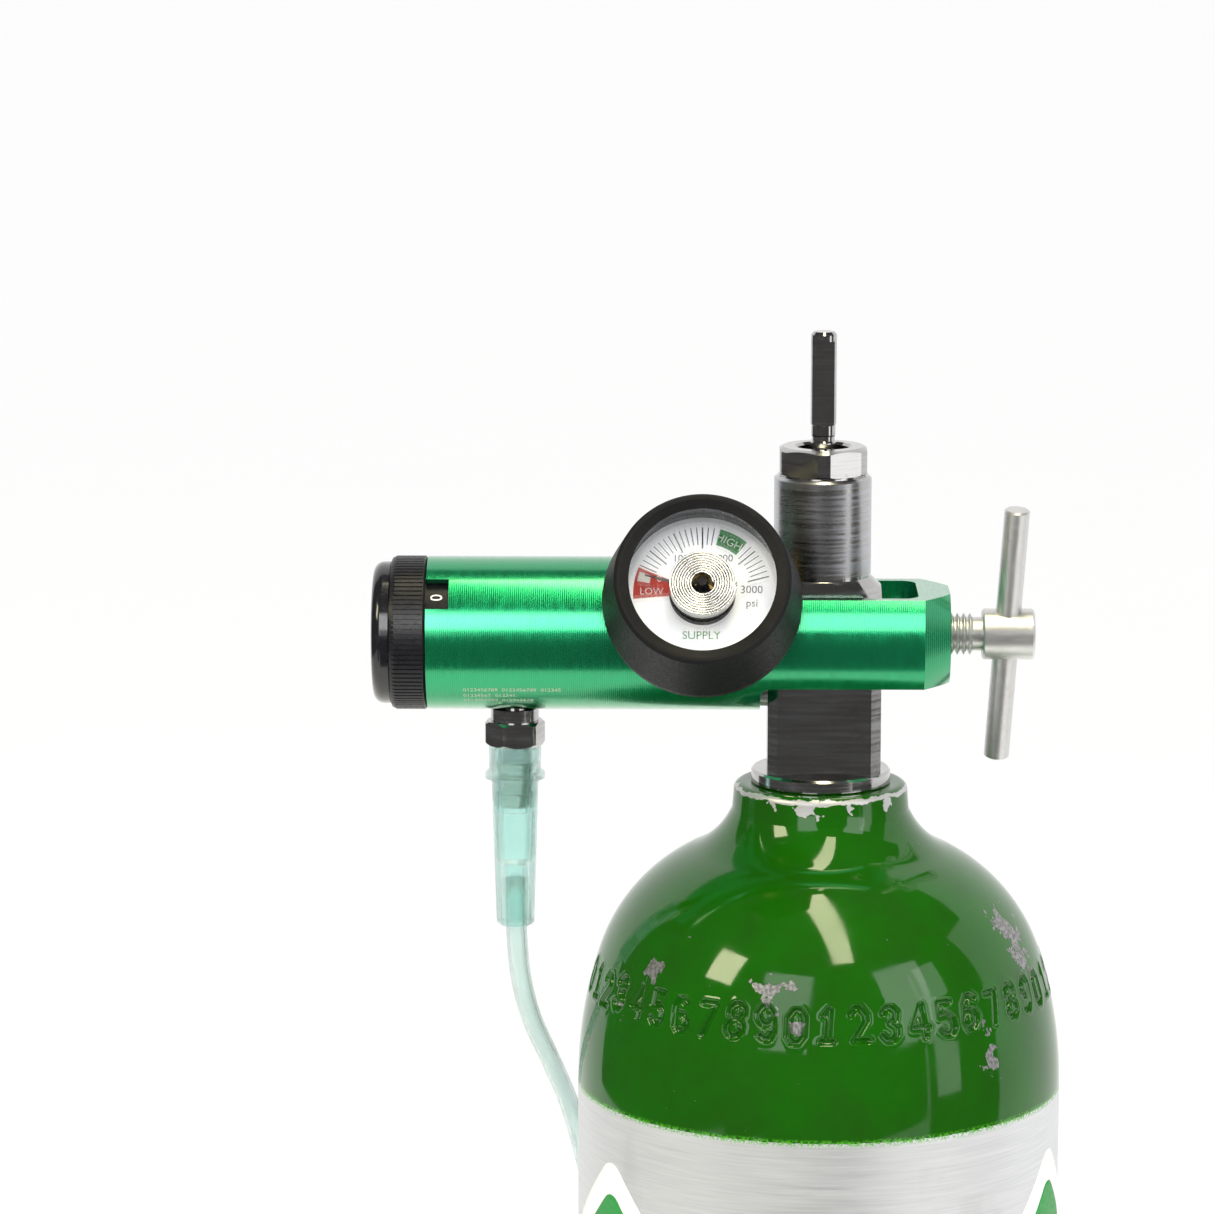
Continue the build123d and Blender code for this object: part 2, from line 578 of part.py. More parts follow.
# Short leads of the two thin tubes from the slide to their own turns on top of the coil
LEAD_ROUTES = {
    "left": [(-29.8, 97.8, 4.6), (-33.4, 89.8, 5.4), (-39.6, 81.4, 6.6), (-47.4, 75.2, 6.9)],
    "right": [(-26.5, 96.3, 4.6), (-27.0, 88.0, 5.6), (-22.8, 79.4, 6.8), (-14.2, 74.2, 6.9)]}


def cord(route, radius):
    """Round tube of straight runs joined by tangent arcs, each as large as its two runs allow."""
    points = [Vector(*p) for p in route]
    runs = [b - a for a, b in zip(points, points[1:])]
    radii = []
    for before, after in zip(runs, runs[1:]):
        turn = math.radians(before.get_angle(after))
        radii.append(0.45 * min(before.length, after.length) / math.tan(turn / 2))
    path = FilletPolyline(*points, radius=radii)
    tube = sweep(Plane(origin=path @ 0, z_dir=path % 0) * Circle(radius), path=path)
    section = math.pi * radius ** 2
    print("cord length", round(path.length, 1), "volume / (section x length)",
          round(tube.volume / (section * path.length), 4))
    print("  radii", [round(r, 1) for r in radii], "runs", [round(r.length, 1) for r in runs])
    return tube


def coil_ring(outer, inner, low, high, edge):
    disc_ring = Location((RING_X, RING_Y, 0)) * ring(outer, inner, low, high)
    return fillet(disc_ring.edges().filter_by(GeomType.CIRCLE), edge)


def lariat_coil():
    return coil_ring(THIN_OUTER_R, THIN_INNER_R, RING_H, RING_H + 3.3, 1.0)


def tube_slide():
    """The slide where the supply tube divides into two thin tubes; it lies inside the coil."""
    place = Location((RING_X + 10.1, RING_Y - 6.8, 4.5), (0, 0, -25)) * Location((0, 0, 0), (90, 0, 0))
    body = disc(4.4, -11, 11, place)
    return chamfer(body.edges().filter_by(GeomType.CIRCLE), 1.0)


def nosepiece():
    """Curved cross tube with two prongs, lying on the thin tubes with the prongs up."""
    angle = math.radians(60)
    place = Location((RING_X + NOSEPIECE_R * math.cos(angle), RING_Y + NOSEPIECE_R * math.sin(angle), RING_H + 6.0),
                     (0, 0, -30))
    bar = Location((-25, 0, 0), (0, 90, 0)) * disc(2.75, 0, 50)
    prongs = [Location((side * 8.0, 0, 0), (12, 0, 0)) * disc(1.9, 0, 13.0) for side in (-1, 1)]
    return place * (bar + prongs)


def main():
    os.makedirs("parts", exist_ok=True)
    for make in (cylinder_shell, neck_oring, valve_body, packing_nut, stem_packing, valve_spindle, valve_plug,
                 plug_seat, relief_plug, burst_disc, regulator_body, brass_sleeve, inlet_nozzle, inlet_filter,
                 yoke_washer, index_pins, piston, piston_oring, piston_seat, piston_spring, flow_block,
                 orifice_plate, selector_shaft, end_plug, detent_balls, flow_knob, indicator_drum, knob_cap,
                 knob_screw, gauge_socket, gauge_case, gauge_dial, bourdon_coil, gauge_pointer, gauge_lens,
                 gauge_boot, outlet_barb, tubing_connector, screw_tip, yoke_screw, t_bar, lariat_coil,
                 tube_slide, nosepiece):
        save(make.__name__, make())
    save("supply_tube", cord(SUPPLY_ROUTE, TUBE_R))
    save("supply_tail", cord(TAIL_ROUTE, TUBE_R))
    save("supply_coil", coil_ring(RING_OUTER_R, RING_INNER_R, 0, RING_H, 2.0))
    save("lariat_leads", Compound(children=[cord(route, LARIAT_R) for route in LEAD_ROUTES.values()]))


main()
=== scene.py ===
import json
import math
import random

import bmesh
import bpy
from mathutils import Matrix, Vector
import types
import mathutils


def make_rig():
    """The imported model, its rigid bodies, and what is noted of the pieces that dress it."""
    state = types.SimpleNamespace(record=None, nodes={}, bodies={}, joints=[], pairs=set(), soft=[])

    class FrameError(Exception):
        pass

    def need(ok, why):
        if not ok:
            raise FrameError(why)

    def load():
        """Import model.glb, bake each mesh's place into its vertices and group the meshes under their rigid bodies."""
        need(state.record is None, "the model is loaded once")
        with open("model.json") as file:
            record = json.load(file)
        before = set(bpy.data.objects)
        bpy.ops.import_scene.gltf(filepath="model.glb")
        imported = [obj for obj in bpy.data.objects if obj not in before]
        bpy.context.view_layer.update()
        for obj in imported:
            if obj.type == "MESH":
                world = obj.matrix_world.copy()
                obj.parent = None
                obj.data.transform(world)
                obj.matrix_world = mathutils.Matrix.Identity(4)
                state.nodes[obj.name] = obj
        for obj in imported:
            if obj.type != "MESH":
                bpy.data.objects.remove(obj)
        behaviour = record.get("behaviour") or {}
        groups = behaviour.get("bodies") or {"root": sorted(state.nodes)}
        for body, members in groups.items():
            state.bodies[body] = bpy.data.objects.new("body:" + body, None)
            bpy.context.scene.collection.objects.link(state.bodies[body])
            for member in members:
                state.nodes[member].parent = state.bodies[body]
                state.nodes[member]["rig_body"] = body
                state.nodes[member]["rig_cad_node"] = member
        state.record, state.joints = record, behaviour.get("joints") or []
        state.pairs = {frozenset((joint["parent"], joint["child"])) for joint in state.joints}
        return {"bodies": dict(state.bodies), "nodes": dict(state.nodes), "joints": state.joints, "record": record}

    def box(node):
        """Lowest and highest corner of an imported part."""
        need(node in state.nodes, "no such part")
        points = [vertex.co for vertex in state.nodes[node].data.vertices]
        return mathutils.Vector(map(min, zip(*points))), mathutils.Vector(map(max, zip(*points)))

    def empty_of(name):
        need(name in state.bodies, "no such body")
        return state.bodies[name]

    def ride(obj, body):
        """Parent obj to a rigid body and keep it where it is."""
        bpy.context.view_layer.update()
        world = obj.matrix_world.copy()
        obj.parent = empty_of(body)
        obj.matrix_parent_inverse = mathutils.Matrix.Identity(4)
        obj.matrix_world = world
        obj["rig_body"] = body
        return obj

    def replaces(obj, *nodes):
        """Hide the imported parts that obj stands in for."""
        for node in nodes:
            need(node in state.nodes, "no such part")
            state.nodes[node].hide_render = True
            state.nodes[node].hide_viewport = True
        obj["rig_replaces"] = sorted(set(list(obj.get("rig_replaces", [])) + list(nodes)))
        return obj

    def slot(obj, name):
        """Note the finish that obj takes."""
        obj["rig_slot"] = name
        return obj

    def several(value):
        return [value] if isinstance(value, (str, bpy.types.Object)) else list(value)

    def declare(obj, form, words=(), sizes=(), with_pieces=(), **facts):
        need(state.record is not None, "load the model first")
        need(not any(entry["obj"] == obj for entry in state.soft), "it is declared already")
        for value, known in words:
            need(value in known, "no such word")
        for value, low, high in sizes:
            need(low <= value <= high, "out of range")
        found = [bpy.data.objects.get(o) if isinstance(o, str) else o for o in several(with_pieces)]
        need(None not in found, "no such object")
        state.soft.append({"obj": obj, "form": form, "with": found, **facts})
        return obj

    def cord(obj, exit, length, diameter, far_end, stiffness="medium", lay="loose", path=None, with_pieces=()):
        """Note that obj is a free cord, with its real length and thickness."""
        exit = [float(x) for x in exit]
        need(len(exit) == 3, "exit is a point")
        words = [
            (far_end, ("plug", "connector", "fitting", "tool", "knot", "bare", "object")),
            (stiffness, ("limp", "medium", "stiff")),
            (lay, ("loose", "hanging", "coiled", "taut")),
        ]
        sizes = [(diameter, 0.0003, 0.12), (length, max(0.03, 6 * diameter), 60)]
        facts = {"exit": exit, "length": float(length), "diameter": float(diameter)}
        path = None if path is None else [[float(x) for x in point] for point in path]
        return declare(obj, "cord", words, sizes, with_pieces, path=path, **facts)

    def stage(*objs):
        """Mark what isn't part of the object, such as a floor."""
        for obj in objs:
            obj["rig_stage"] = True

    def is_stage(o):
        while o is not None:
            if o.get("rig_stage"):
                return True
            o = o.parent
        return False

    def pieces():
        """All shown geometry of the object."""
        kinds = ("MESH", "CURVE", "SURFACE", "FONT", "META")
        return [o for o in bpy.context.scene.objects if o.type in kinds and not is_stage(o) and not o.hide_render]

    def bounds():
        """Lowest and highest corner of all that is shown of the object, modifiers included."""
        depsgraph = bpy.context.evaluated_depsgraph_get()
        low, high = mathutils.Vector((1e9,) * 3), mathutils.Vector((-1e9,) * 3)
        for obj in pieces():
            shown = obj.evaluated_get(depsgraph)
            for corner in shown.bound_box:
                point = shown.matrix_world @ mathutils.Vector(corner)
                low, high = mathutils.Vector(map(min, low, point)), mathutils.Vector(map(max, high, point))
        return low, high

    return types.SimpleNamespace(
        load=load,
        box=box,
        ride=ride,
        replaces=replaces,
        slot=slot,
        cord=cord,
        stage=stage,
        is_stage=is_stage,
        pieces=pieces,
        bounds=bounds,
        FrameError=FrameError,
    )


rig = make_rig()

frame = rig.load()
CAD_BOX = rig.bounds()

# Medical oxygen cylinder with its post valve, clamped regulator and nasal cannula.  Metres, in the
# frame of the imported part: origin at the centre of the base, +Z up, -Y to the front.
MM = 0.001
NODES = frame["nodes"]

# ---------------------------------------------------------------- driving places, from the frame
SHELL_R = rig.box("cylinder_shell")[1].x
SHELL_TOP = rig.box("cylinder_shell")[1].z
BARREL_Z = sum(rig.box("flow_knob")[i].z for i in (0, 1)) / 2
GAUGE_X = sum(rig.box("gauge_lens")[i].x for i in (0, 1)) / 2
OUTLET_X = sum(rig.box("outlet_barb")[i].x for i in (0, 1)) / 2
RING_X = sum(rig.box("supply_coil")[i].x for i in (0, 1)) / 2
RING_Y = sum(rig.box("supply_coil")[i].y for i in (0, 1)) / 2
PAINT_EDGE_Z = SHELL_TOP - 70 * MM
BARREL_R = 17.45 * MM
GAUGE_TILT = 27.0
DIAL_STATION = 31.5 * MM
DRUM_R = 15.4 * MM

# Local frames: a dial's own plane faces the gauge's reader, and its distance is from the barrel's axis
GAUGE = Matrix.Translation((GAUGE_X, 0, BARREL_Z)) @ Matrix.Rotation(math.radians(90 - GAUGE_TILT), 4, "X")


# ---------------------------------------------------------------- camera
CAMERA_AZIMUTH = math.radians(0.94)
CAMERA_ELEVATION = math.radians(10.46)
CAMERA_DISTANCE = 1.139
CAMERA_TARGET = Vector((-48.93, 0.0, 690.26)) * MM


def camera():
    data = bpy.data.cameras.new("camera")
    data.lens, data.sensor_width = 148.27, 36.0
    data.clip_start, data.clip_end = 0.05, 100.0
    back = Vector((math.sin(CAMERA_AZIMUTH) * math.cos(CAMERA_ELEVATION),
                   -math.cos(CAMERA_AZIMUTH) * math.cos(CAMERA_ELEVATION), math.sin(CAMERA_ELEVATION)))
    made = bpy.data.objects.new("camera", data)
    made.location = CAMERA_TARGET + back * CAMERA_DISTANCE
    made.rotation_mode = "QUATERNION"
    made.rotation_quaternion = (-back).to_track_quat("-Z", "Y")
    bpy.context.scene.collection.objects.link(made)
    bpy.context.scene.camera = made


# ---------------------------------------------------------------- materials
class Finish:
    """One procedural material: a Principled shader and short calls for the nodes that feed it.
    Patterns are in the object's own coordinates, in metres, so they stay on it as it moves."""

    def __init__(self, name, colour, roughness, metallic=0.0, **sockets):
        self.material = bpy.data.materials.new(name)
        self.material.use_nodes = True
        self.tree = self.material.node_tree
        self.shader = self.tree.nodes["Principled BSDF"]
        self.shader.inputs["Base Color"].default_value = (*colour, 1)
        self.shader.inputs["Roughness"].default_value = roughness
        self.shader.inputs["Metallic"].default_value = metallic
        for socket, value in sockets.items():
            self.shader.inputs[socket.replace("_", " ")].default_value = value
        self.colour = colour
        self.place = self.node("ShaderNodeTexCoord").outputs["Object"]

    def node(self, kind, **settings):
        made = self.tree.nodes.new(kind)
        for key, value in settings.items():
            setattr(made, key, value)
        return made

    def plug(self, socket, value):
        if isinstance(value, bpy.types.NodeSocket):
            self.tree.links.new(value, socket)
        else:
            socket.default_value = value

    def math(self, operation, first, second=0.0):
        made = self.node("ShaderNodeMath", operation=operation)
        self.plug(made.inputs[0], first)
        self.plug(made.inputs[1], second)
        return made.outputs[0]

    def axis(self, name):
        split = self.node("ShaderNodeSeparateXYZ")
        self.plug(split.inputs[0], self.place)
        return split.outputs[name]

    def noise(self, scale, detail=3.0, stretch=(1, 1, 1), roughness=0.55):
        mapping = self.node("ShaderNodeMapping")
        self.plug(mapping.inputs["Vector"], self.place)
        mapping.inputs["Scale"].default_value = stretch
        made = self.node("ShaderNodeTexNoise")
        self.plug(made.inputs["Vector"], mapping.outputs[0])
        made.inputs["Scale"].default_value = scale
        made.inputs["Detail"].default_value = detail
        made.inputs["Roughness"].default_value = roughness
        return made.outputs["Fac"]

    def span(self, value, low, high, to_low=0.0, to_high=1.0):
        """value from low to high, as a number from to_low to to_high, held at both ends."""
        made = self.node("ShaderNodeMapRange")
        for socket, amount in zip(made.inputs[:5], (value, low, high, to_low, to_high)):
            self.plug(socket, amount)
        return made.outputs[0]

    def mix(self, share, first, second):
        made = self.node("ShaderNodeMix", data_type="RGBA")
        self.plug(made.inputs["Factor"], share)
        for socket, colour in ((made.inputs["A"], first), (made.inputs["B"], second)):
            self.plug(socket, (*colour, 1) if isinstance(colour, tuple) else colour)
        return made.outputs["Result"]

    def tint(self, share, other):
        """The base colour, going over to another where share is 1."""
        before = self.shader.inputs["Base Color"]
        now = before.links[0].from_socket if before.is_linked else self.colour
        self.plug(before, self.mix(share, now, other))
        return self

    def rough(self, value):
        self.plug(self.shader.inputs["Roughness"], value)
        return self

    def metal(self, value):
        self.plug(self.shader.inputs["Metallic"], value)
        return self

    def bump(self, height, distance, strength=1.0):
        made = self.node("ShaderNodeBump")
        made.inputs["Strength"].default_value = strength
        made.inputs["Distance"].default_value = distance
        self.plug(made.inputs["Height"], height)
        normal = self.shader.inputs["Normal"]
        if normal.is_linked:
            self.plug(made.inputs["Normal"], normal.links[0].from_socket)
        self.plug(normal, made.outputs[0])
        return self

    def lines(self, axis, pitch):
        """Fine turned or brushed lines across an axis: from 0 to 1 and back once every pitch."""
        turn = self.math("MULTIPLY", self.axis(axis), 2 * math.pi / pitch)
        return self.span(self.math("SINE", turn), -1.0, 1.0)


def anodised_green():
    """Anodised aluminium with the lathe's feed lines across its length."""
    finish = Finish("green_anodised", (0.004, 0.34, 0.13), 0.22, 0.86, Coat_Weight=0.8, Coat_Roughness=0.14)
    wear = finish.noise(900, 3, (1, 0.25, 0.25))
    feed = finish.lines("X", 0.47 * MM)
    finish.tint(finish.span(feed, 0.0, 1.0, 0.0, 0.55), (0.002, 0.19, 0.07))
    finish.tint(finish.span(finish.noise(2400, 2), 0.76, 0.80, 0.0, 0.4), (0.30, 0.55, 0.36))
    finish.rough(finish.span(wear, 0.3, 0.7, 0.17, 0.27))
    finish.bump(feed, 0.010 * MM, 0.7)
    return finish.material


def chrome():
    """Nickel-chrome plate on machined brass: bright, with haze, turning marks and dark specks."""
    finish = Finish("chrome", (0.46, 0.45, 0.44), 0.10, 1.0)
    haze = finish.noise(120, 4)
    marks = finish.noise(70, 5, (1, 1, 22))
    specks = finish.noise(1500, 2)
    finish.tint(finish.span(marks, 0.42, 0.62, 0.0, 0.45), (0.66, 0.66, 0.68))
    finish.tint(finish.span(specks, 0.70, 0.74, 0.0, 0.75), (0.10, 0.09, 0.08))
    finish.tint(finish.span(haze, 0.5, 0.75, 0.0, 0.30), (0.30, 0.28, 0.25))
    height = finish.axis("Z")
    turned = finish.math("MULTIPLY", finish.span(height, 698.5 * MM, 699.0 * MM),
                         finish.span(height, 720.5 * MM, 721.0 * MM, 1.0, 0.0))
    finish.tint(finish.math("MULTIPLY", turned, finish.span(marks, 0.4, 0.6, 0.1, 0.8)), (0.52, 0.53, 0.58))
    finish.rough(finish.math("ADD", finish.span(marks, 0.35, 0.7, 0.06, 0.20),
                             finish.math("MULTIPLY", turned, 0.16)))
    finish.bump(marks, 0.012 * MM, 0.35).bump(finish.noise(700, 3), 0.006 * MM, 0.3)
    return finish.material


def steel():
    """Satin stainless steel, finely mottled, with warm patches."""
    finish = Finish("stainless", (0.66, 0.66, 0.66), 0.36, 0.92)
    grain = finish.noise(1100, 4, (0.2, 1, 1))
    finish.tint(finish.span(finish.noise(320, 4), 0.5, 0.75, 0.0, 0.3), (0.50, 0.46, 0.40))
    finish.tint(finish.span(finish.noise(1900, 2), 0.70, 0.75, 0.0, 0.5), (0.25, 0.24, 0.22))
    finish.rough(finish.span(grain, 0.3, 0.7, 0.30, 0.44))
    finish.bump(grain, 0.012 * MM, 0.5)
    return finish.material


def brass():
    finish = Finish("brass", (0.66, 0.45, 0.17), 0.28, 1.0)
    finish.tint(finish.span(finish.noise(240, 4), 0.45, 0.75, 0.0, 0.5), (0.36, 0.21, 0.07))
    finish.rough(finish.span(finish.noise(500, 4, (0.2, 1, 1)), 0.3, 0.7, 0.2, 0.42))
    finish.bump(finish.lines("X", 0.35 * MM), 0.008 * MM, 0.5)
    return finish.material


def bright_brass():
    """The gauge's spiral tube: silvery, each turn catching the light."""
    finish = Finish("spiral_tube", (0.78, 0.76, 0.72), 0.22, 1.0)
    finish.tint(finish.span(finish.noise(500, 3), 0.45, 0.7, 0.0, 0.3), (0.52, 0.50, 0.46))
    finish.rough(finish.span(finish.noise(1500, 3), 0.3, 0.7, 0.16, 0.30))
    return finish.material


def black_moulded(name, roughness=0.36, coat=0.0):
    """Satin black: a faint cool sheen over fine grain."""
    finish = Finish(name, (0.006, 0.006, 0.008), roughness, 0.0, Coat_Weight=coat, Coat_Roughness=0.10,
                    Specular_IOR_Level=0.30)
    grain = finish.noise(1300, 3)
    finish.tint(finish.span(finish.noise(260, 4), 0.55, 0.75, 0.0, 0.35), (0.020, 0.021, 0.026))
    finish.rough(finish.span(grain, 0.3, 0.7, roughness - 0.08, roughness + 0.10))
    finish.bump(grain, 0.012 * MM, 0.35)
    return finish.material


def rubber():
    finish = Finish("black_rubber", (0.005, 0.005, 0.006), 0.50, 0.0, Specular_IOR_Level=0.22)
    grain = finish.noise(1500, 4)
    finish.tint(finish.span(finish.noise(200, 5), 0.55, 0.8, 0.0, 0.45), (0.014, 0.014, 0.015))
    finish.rough(finish.span(grain, 0.3, 0.7, 0.42, 0.62))
    finish.bump(grain, 0.02 * MM, 0.4)
    return finish.material


def seal():
    finish = Finish("white_seal", (0.74, 0.73, 0.68), 0.55)
    finish.tint(finish.span(finish.noise(400, 4), 0.45, 0.75, 0.0, 0.4), (0.55, 0.53, 0.46))
    finish.bump(finish.noise(1400, 3), 0.02 * MM, 0.4)
    return finish.material


def dial_white():
    finish = Finish("dial_white", (0.94, 0.95, 0.97), 0.42)
    finish.tint(finish.span(finish.noise(300, 3), 0.5, 0.8, 0.0, 0.2), (0.82, 0.83, 0.85))
    finish.bump(finish.noise(2600, 2), 0.004 * MM, 0.3)
    return finish.material


def clear_lens():
    """Moulded clear window with the faintest haze and scratches."""
    finish = Finish("clear_lens", (0.97, 0.985, 0.99), 0.02, 0.0,
                    Transmission_Weight=1.0, IOR=1.30, Alpha=0.12)
    finish.rough(finish.span(finish.noise(700, 4, (0.2, 1, 1)), 0.55, 0.8, 0.0, 0.06))
    finish.bump(finish.noise(60, 2), 0.01 * MM, 0.1)
    return finish.material


def vinyl(name, colour, weight, alpha, roughness=0.12):
    """Soft clear vinyl, tinted, slightly cloudy."""
    finish = Finish(name, colour, roughness, 0.0, Transmission_Weight=weight, IOR=1.38, Alpha=alpha)
    finish.tint(finish.span(finish.noise(220, 3), 0.4, 0.75, 0.0, 0.35), tuple(c * 0.85 for c in colour))
    finish.rough(finish.span(finish.noise(500, 3), 0.3, 0.7, roughness * 0.5, roughness * 1.8))
    finish.bump(finish.noise(140, 2), 0.05 * MM, 0.25)
    return finish.material


def ink(name, colour, roughness=0.5):
    finish = Finish(name, colour, roughness)
    finish.tint(finish.span(finish.noise(2600, 3), 0.55, 0.75, 0.0, 0.3),
                tuple(0.6 * c + 0.12 for c in colour))
    finish.rough(finish.span(finish.noise(900, 2), 0.3, 0.7, roughness - 0.1, roughness + 0.1))
    return finish.material


# Chips in the paint: turn about the axis from the front in degrees, height, and radius in mm
CHIPS = [(-9.5, 647.4, 3.4), (-50.0, 613.0, 3.1), (-13.0, 613.0, 4.2), (-7.0, 605.5, 2.5),
         (66.0, 619.0, 5.6), (67.0, 614.0, 5.0), (43.5, 602.0, 2.1), (43.0, 594.5, 3.3),
         (18.0, 647.6, 1.8), (-34.0, 647.8, 1.6), (46.0, 647.6, 2.0), (-60.0, 603.0, 1.9),
         (88.0, 606.0, 3.0), (120.0, 598.0, 3.4), (150.0, 615.0, 2.6), (-120.0, 602.0, 3.2),
         (-150.0, 610.0, 2.4), (-75.0, 592.0, 1.4), (180.0, 592.0, 2.4)]


def painted_aluminium():
    """Gloss green shoulder over turned aluminium, chipped to dull metal, with a sprayed lower edge."""
    finish = Finish("painted_aluminium", (0.62, 0.63, 0.645), 0.34)
    height = finish.axis("Z")
    ragged = finish.span(finish.noise(900, 4), 0.3, 0.7, -0.14 * MM, 0.14 * MM)
    paint = finish.span(finish.math("ADD", height, ragged), PAINT_EDGE_Z, PAINT_EDGE_Z + 0.15 * MM)
    wander = finish.span(finish.noise(260, 5), 0.3, 0.7, -0.5 * MM, 0.5 * MM)
    worn = finish.math("ADD", height, wander)
    rim = finish.math("MAXIMUM", finish.span(worn, SHELL_TOP - 1.5 * MM, SHELL_TOP - 1.3 * MM, 1.0, 0.0),
                      finish.span(worn, SHELL_TOP - 0.5 * MM, SHELL_TOP - 0.35 * MM))
    above = finish.span(height, PAINT_EDGE_Z + 1 * MM, PAINT_EDGE_Z + 1.5 * MM)
    kept = rim
    edge_noise = finish.noise(300, 3)
    for turn, level, radius in CHIPS:
        angle = math.radians(turn)
        reach = dome_radius(level * MM)
        spot = (reach * math.sin(angle), -reach * math.cos(angle), level * MM)
        away = finish.node("ShaderNodeVectorMath", operation="DISTANCE")
        finish.plug(away.inputs[0], finish.place)
        away.inputs[1].default_value = spot
        wobble = finish.math("MULTIPLY", finish.math("SUBTRACT", edge_noise, 0.5), 4.4 * radius * MM)
        distance = finish.math("ADD", away.outputs["Value"], wobble)
        kept = finish.math("MULTIPLY", kept, finish.span(distance, 0.70 * radius * MM, 0.73 * radius * MM))
    kept = finish.math("MULTIPLY", kept, finish.span(finish.noise(620, 4), 0.745, 0.755, 1.0, 0.0))
    paint = finish.math("MULTIPLY", paint, kept)
    reach = finish.math("ABSOLUTE", finish.math("SUBTRACT", height, PAINT_EDGE_Z))
    fringe = finish.math("MULTIPLY", finish.span(reach, 0.15 * MM, 1.1 * MM, 1.0, 0.0),
                         finish.span(finish.noise(1700, 3), 0.44, 0.56))
    brushed = finish.noise(60, 4, (1, 1, 34))
    scratch = finish.span(finish.noise(75, 6, (3.0, 3.0, 0.35)), 0.68, 0.72)
    stains = finish.span(finish.noise(42, 5, (1, 1, 0.7)), 0.60, 0.80)
    bare = finish.mix(finish.span(brushed, 0.25, 0.75), (0.61, 0.62, 0.64), (0.75, 0.76, 0.78))
    bare = finish.mix(finish.math("MULTIPLY", stains, 0.30), bare, (0.33, 0.325, 0.31))
    bare = finish.mix(finish.math("MULTIPLY", scratch, 0.3), bare, (0.80, 0.80, 0.81))
    chipped = finish.mix(finish.span(finish.noise(1300, 4), 0.4, 0.6),
                         (0.15, 0.15, 0.15), (0.33, 0.33, 0.335))
    bright = finish.span(height, 640 * MM, 642 * MM)
    bare = finish.mix(above, bare, finish.mix(bright, chipped, (0.55, 0.55, 0.56)))
    green = finish.mix(finish.span(finish.noise(70, 4), 0.35, 0.7),
                       (0.006, 0.086, 0.001), (0.008, 0.066, 0.002))
    colour = finish.mix(fringe, finish.mix(paint, bare, green), (0.07, 0.34, 0.02))
    finish.plug(finish.shader.inputs["Base Color"], colour)
    covered = finish.math("MAXIMUM", paint, fringe)
    finish.metal(finish.span(covered, 0.0, 1.0, 0.66, 0.0))
    bare_rough = finish.span(brushed, 0.3, 0.7, 0.38, 0.50)
    paint_rough = finish.span(finish.noise(160, 4), 0.4, 0.75, 0.05, 0.13)
    both = finish.node("ShaderNodeMix", data_type="FLOAT")
    finish.plug(both.inputs["Factor"], paint)
    finish.plug(both.inputs["A"], bare_rough)
    finish.plug(both.inputs["B"], paint_rough)
    finish.rough(both.outputs["Result"])
    finish.bump(paint, 0.12 * MM).bump(brushed, 0.004 * MM, 0.4).bump(finish.noise(320, 2), 0.010 * MM, 0.35)
    return finish.material


def dome_radius(height):
    """Radius of the shoulder at a height, from its arcs."""
    profile = shell_profile()
    for (r0, z0), (r1, z1) in zip(profile, profile[1:]):
        if min(z0, z1) <= height <= max(z0, z1) and z1 != z0:
            return r0 + (r1 - r0) * (height - z0) / (z1 - z0)
    return SHELL_R


# ---------------------------------------------------------------- mesh helpers
def add(name, mesh, body, slot, *materials):
    """A new object of the part: in its collection, riding on a body, with its finish."""
    made = bpy.data.objects.new(name, mesh)
    bpy.context.scene.collection.objects.link(made)
    for material in materials:
        mesh.materials.append(material)
    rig.ride(made, body)
    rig.slot(made, slot)
    return made


def smooth(mesh):
    mesh.polygons.foreach_set("use_smooth", [True] * len(mesh.polygons))
    return mesh


def from_bmesh(name, work):
    bmesh.ops.recalc_face_normals(work, faces=work.faces)
    mesh = bpy.data.meshes.new(name)
    work.to_mesh(mesh)
    work.free()
    return mesh


def skin(work, rings, closed_ring=True, closed_run=False):
    """Quads between each ring of vertices and the next."""
    count = len(rings[0])
    pairs = list(zip(rings, rings[1:])) + ([(rings[-1], rings[0])] if closed_run else [])
    for low, high in pairs:
        for i in range(count if closed_ring else count - 1):
            j = (i + 1) % count
            work.faces.new((low[i], low[j], high[j], high[i]))


def lathe(name, profile, place=Matrix.Identity(4), sides=96):
    """Closed solid of revolution about the local Z axis, from a closed loop of (radius, height)."""
    work = bmesh.new()
    rings = []
    for radius, height in profile:
        ring = []
        for i in range(sides):
            angle = 2 * math.pi * i / sides
            spot = Vector((radius * math.cos(angle), radius * math.sin(angle), height))
            ring.append(work.verts.new(place @ spot))
        rings.append(ring)
    skin(work, rings, closed_run=True)
    return smooth(from_bmesh(name, work))


def arc(centre, radius, start, end, steps):
    """Points of an arc in the (radius, height) plane, angles in radians."""
    turn = (end - start) / steps
    return [(centre[0] + radius * math.cos(start + turn * i), centre[1] + radius * math.sin(start + turn * i))
            for i in range(steps + 1)]


def frames(points):
    """A (position, side, up) triple at each point, turning as little as it can along the line."""
    count = len(points)
    side = None
    for i, point in enumerate(points):
        along = (points[min(i + 1, count - 1)] - points[max(i - 1, 0)]).normalized()
        if side is None:
            side = along.orthogonal().normalized()
        side = (side - along * side.dot(along)).normalized()
        yield point, side, along.cross(side)


def hose(name, points, outer, inner, sides=16):
    """Hollow tube along a line; outer and inner are radii, or a list of pairs, one for each point."""
    sizes = outer if isinstance(outer, list) else [(outer, inner)] * len(points)
    work = bmesh.new()
    walls = ([], [])
    for (point, side, up), pair in zip(frames(points), sizes):
        for wall, radius in zip(walls, pair):
            ring = []
            for k in range(sides):
                angle = 2 * math.pi * k / sides
                ring.append(work.verts.new(point + (side * math.cos(angle) + up * math.sin(angle)) * radius))
            wall.append(ring)
    outside, inside = walls
    skin(work, outside)
    skin(work, inside)
    skin(work, [outside[0], inside[0]])
    skin(work, [outside[-1], inside[-1]])
    return smooth(from_bmesh(name, work))


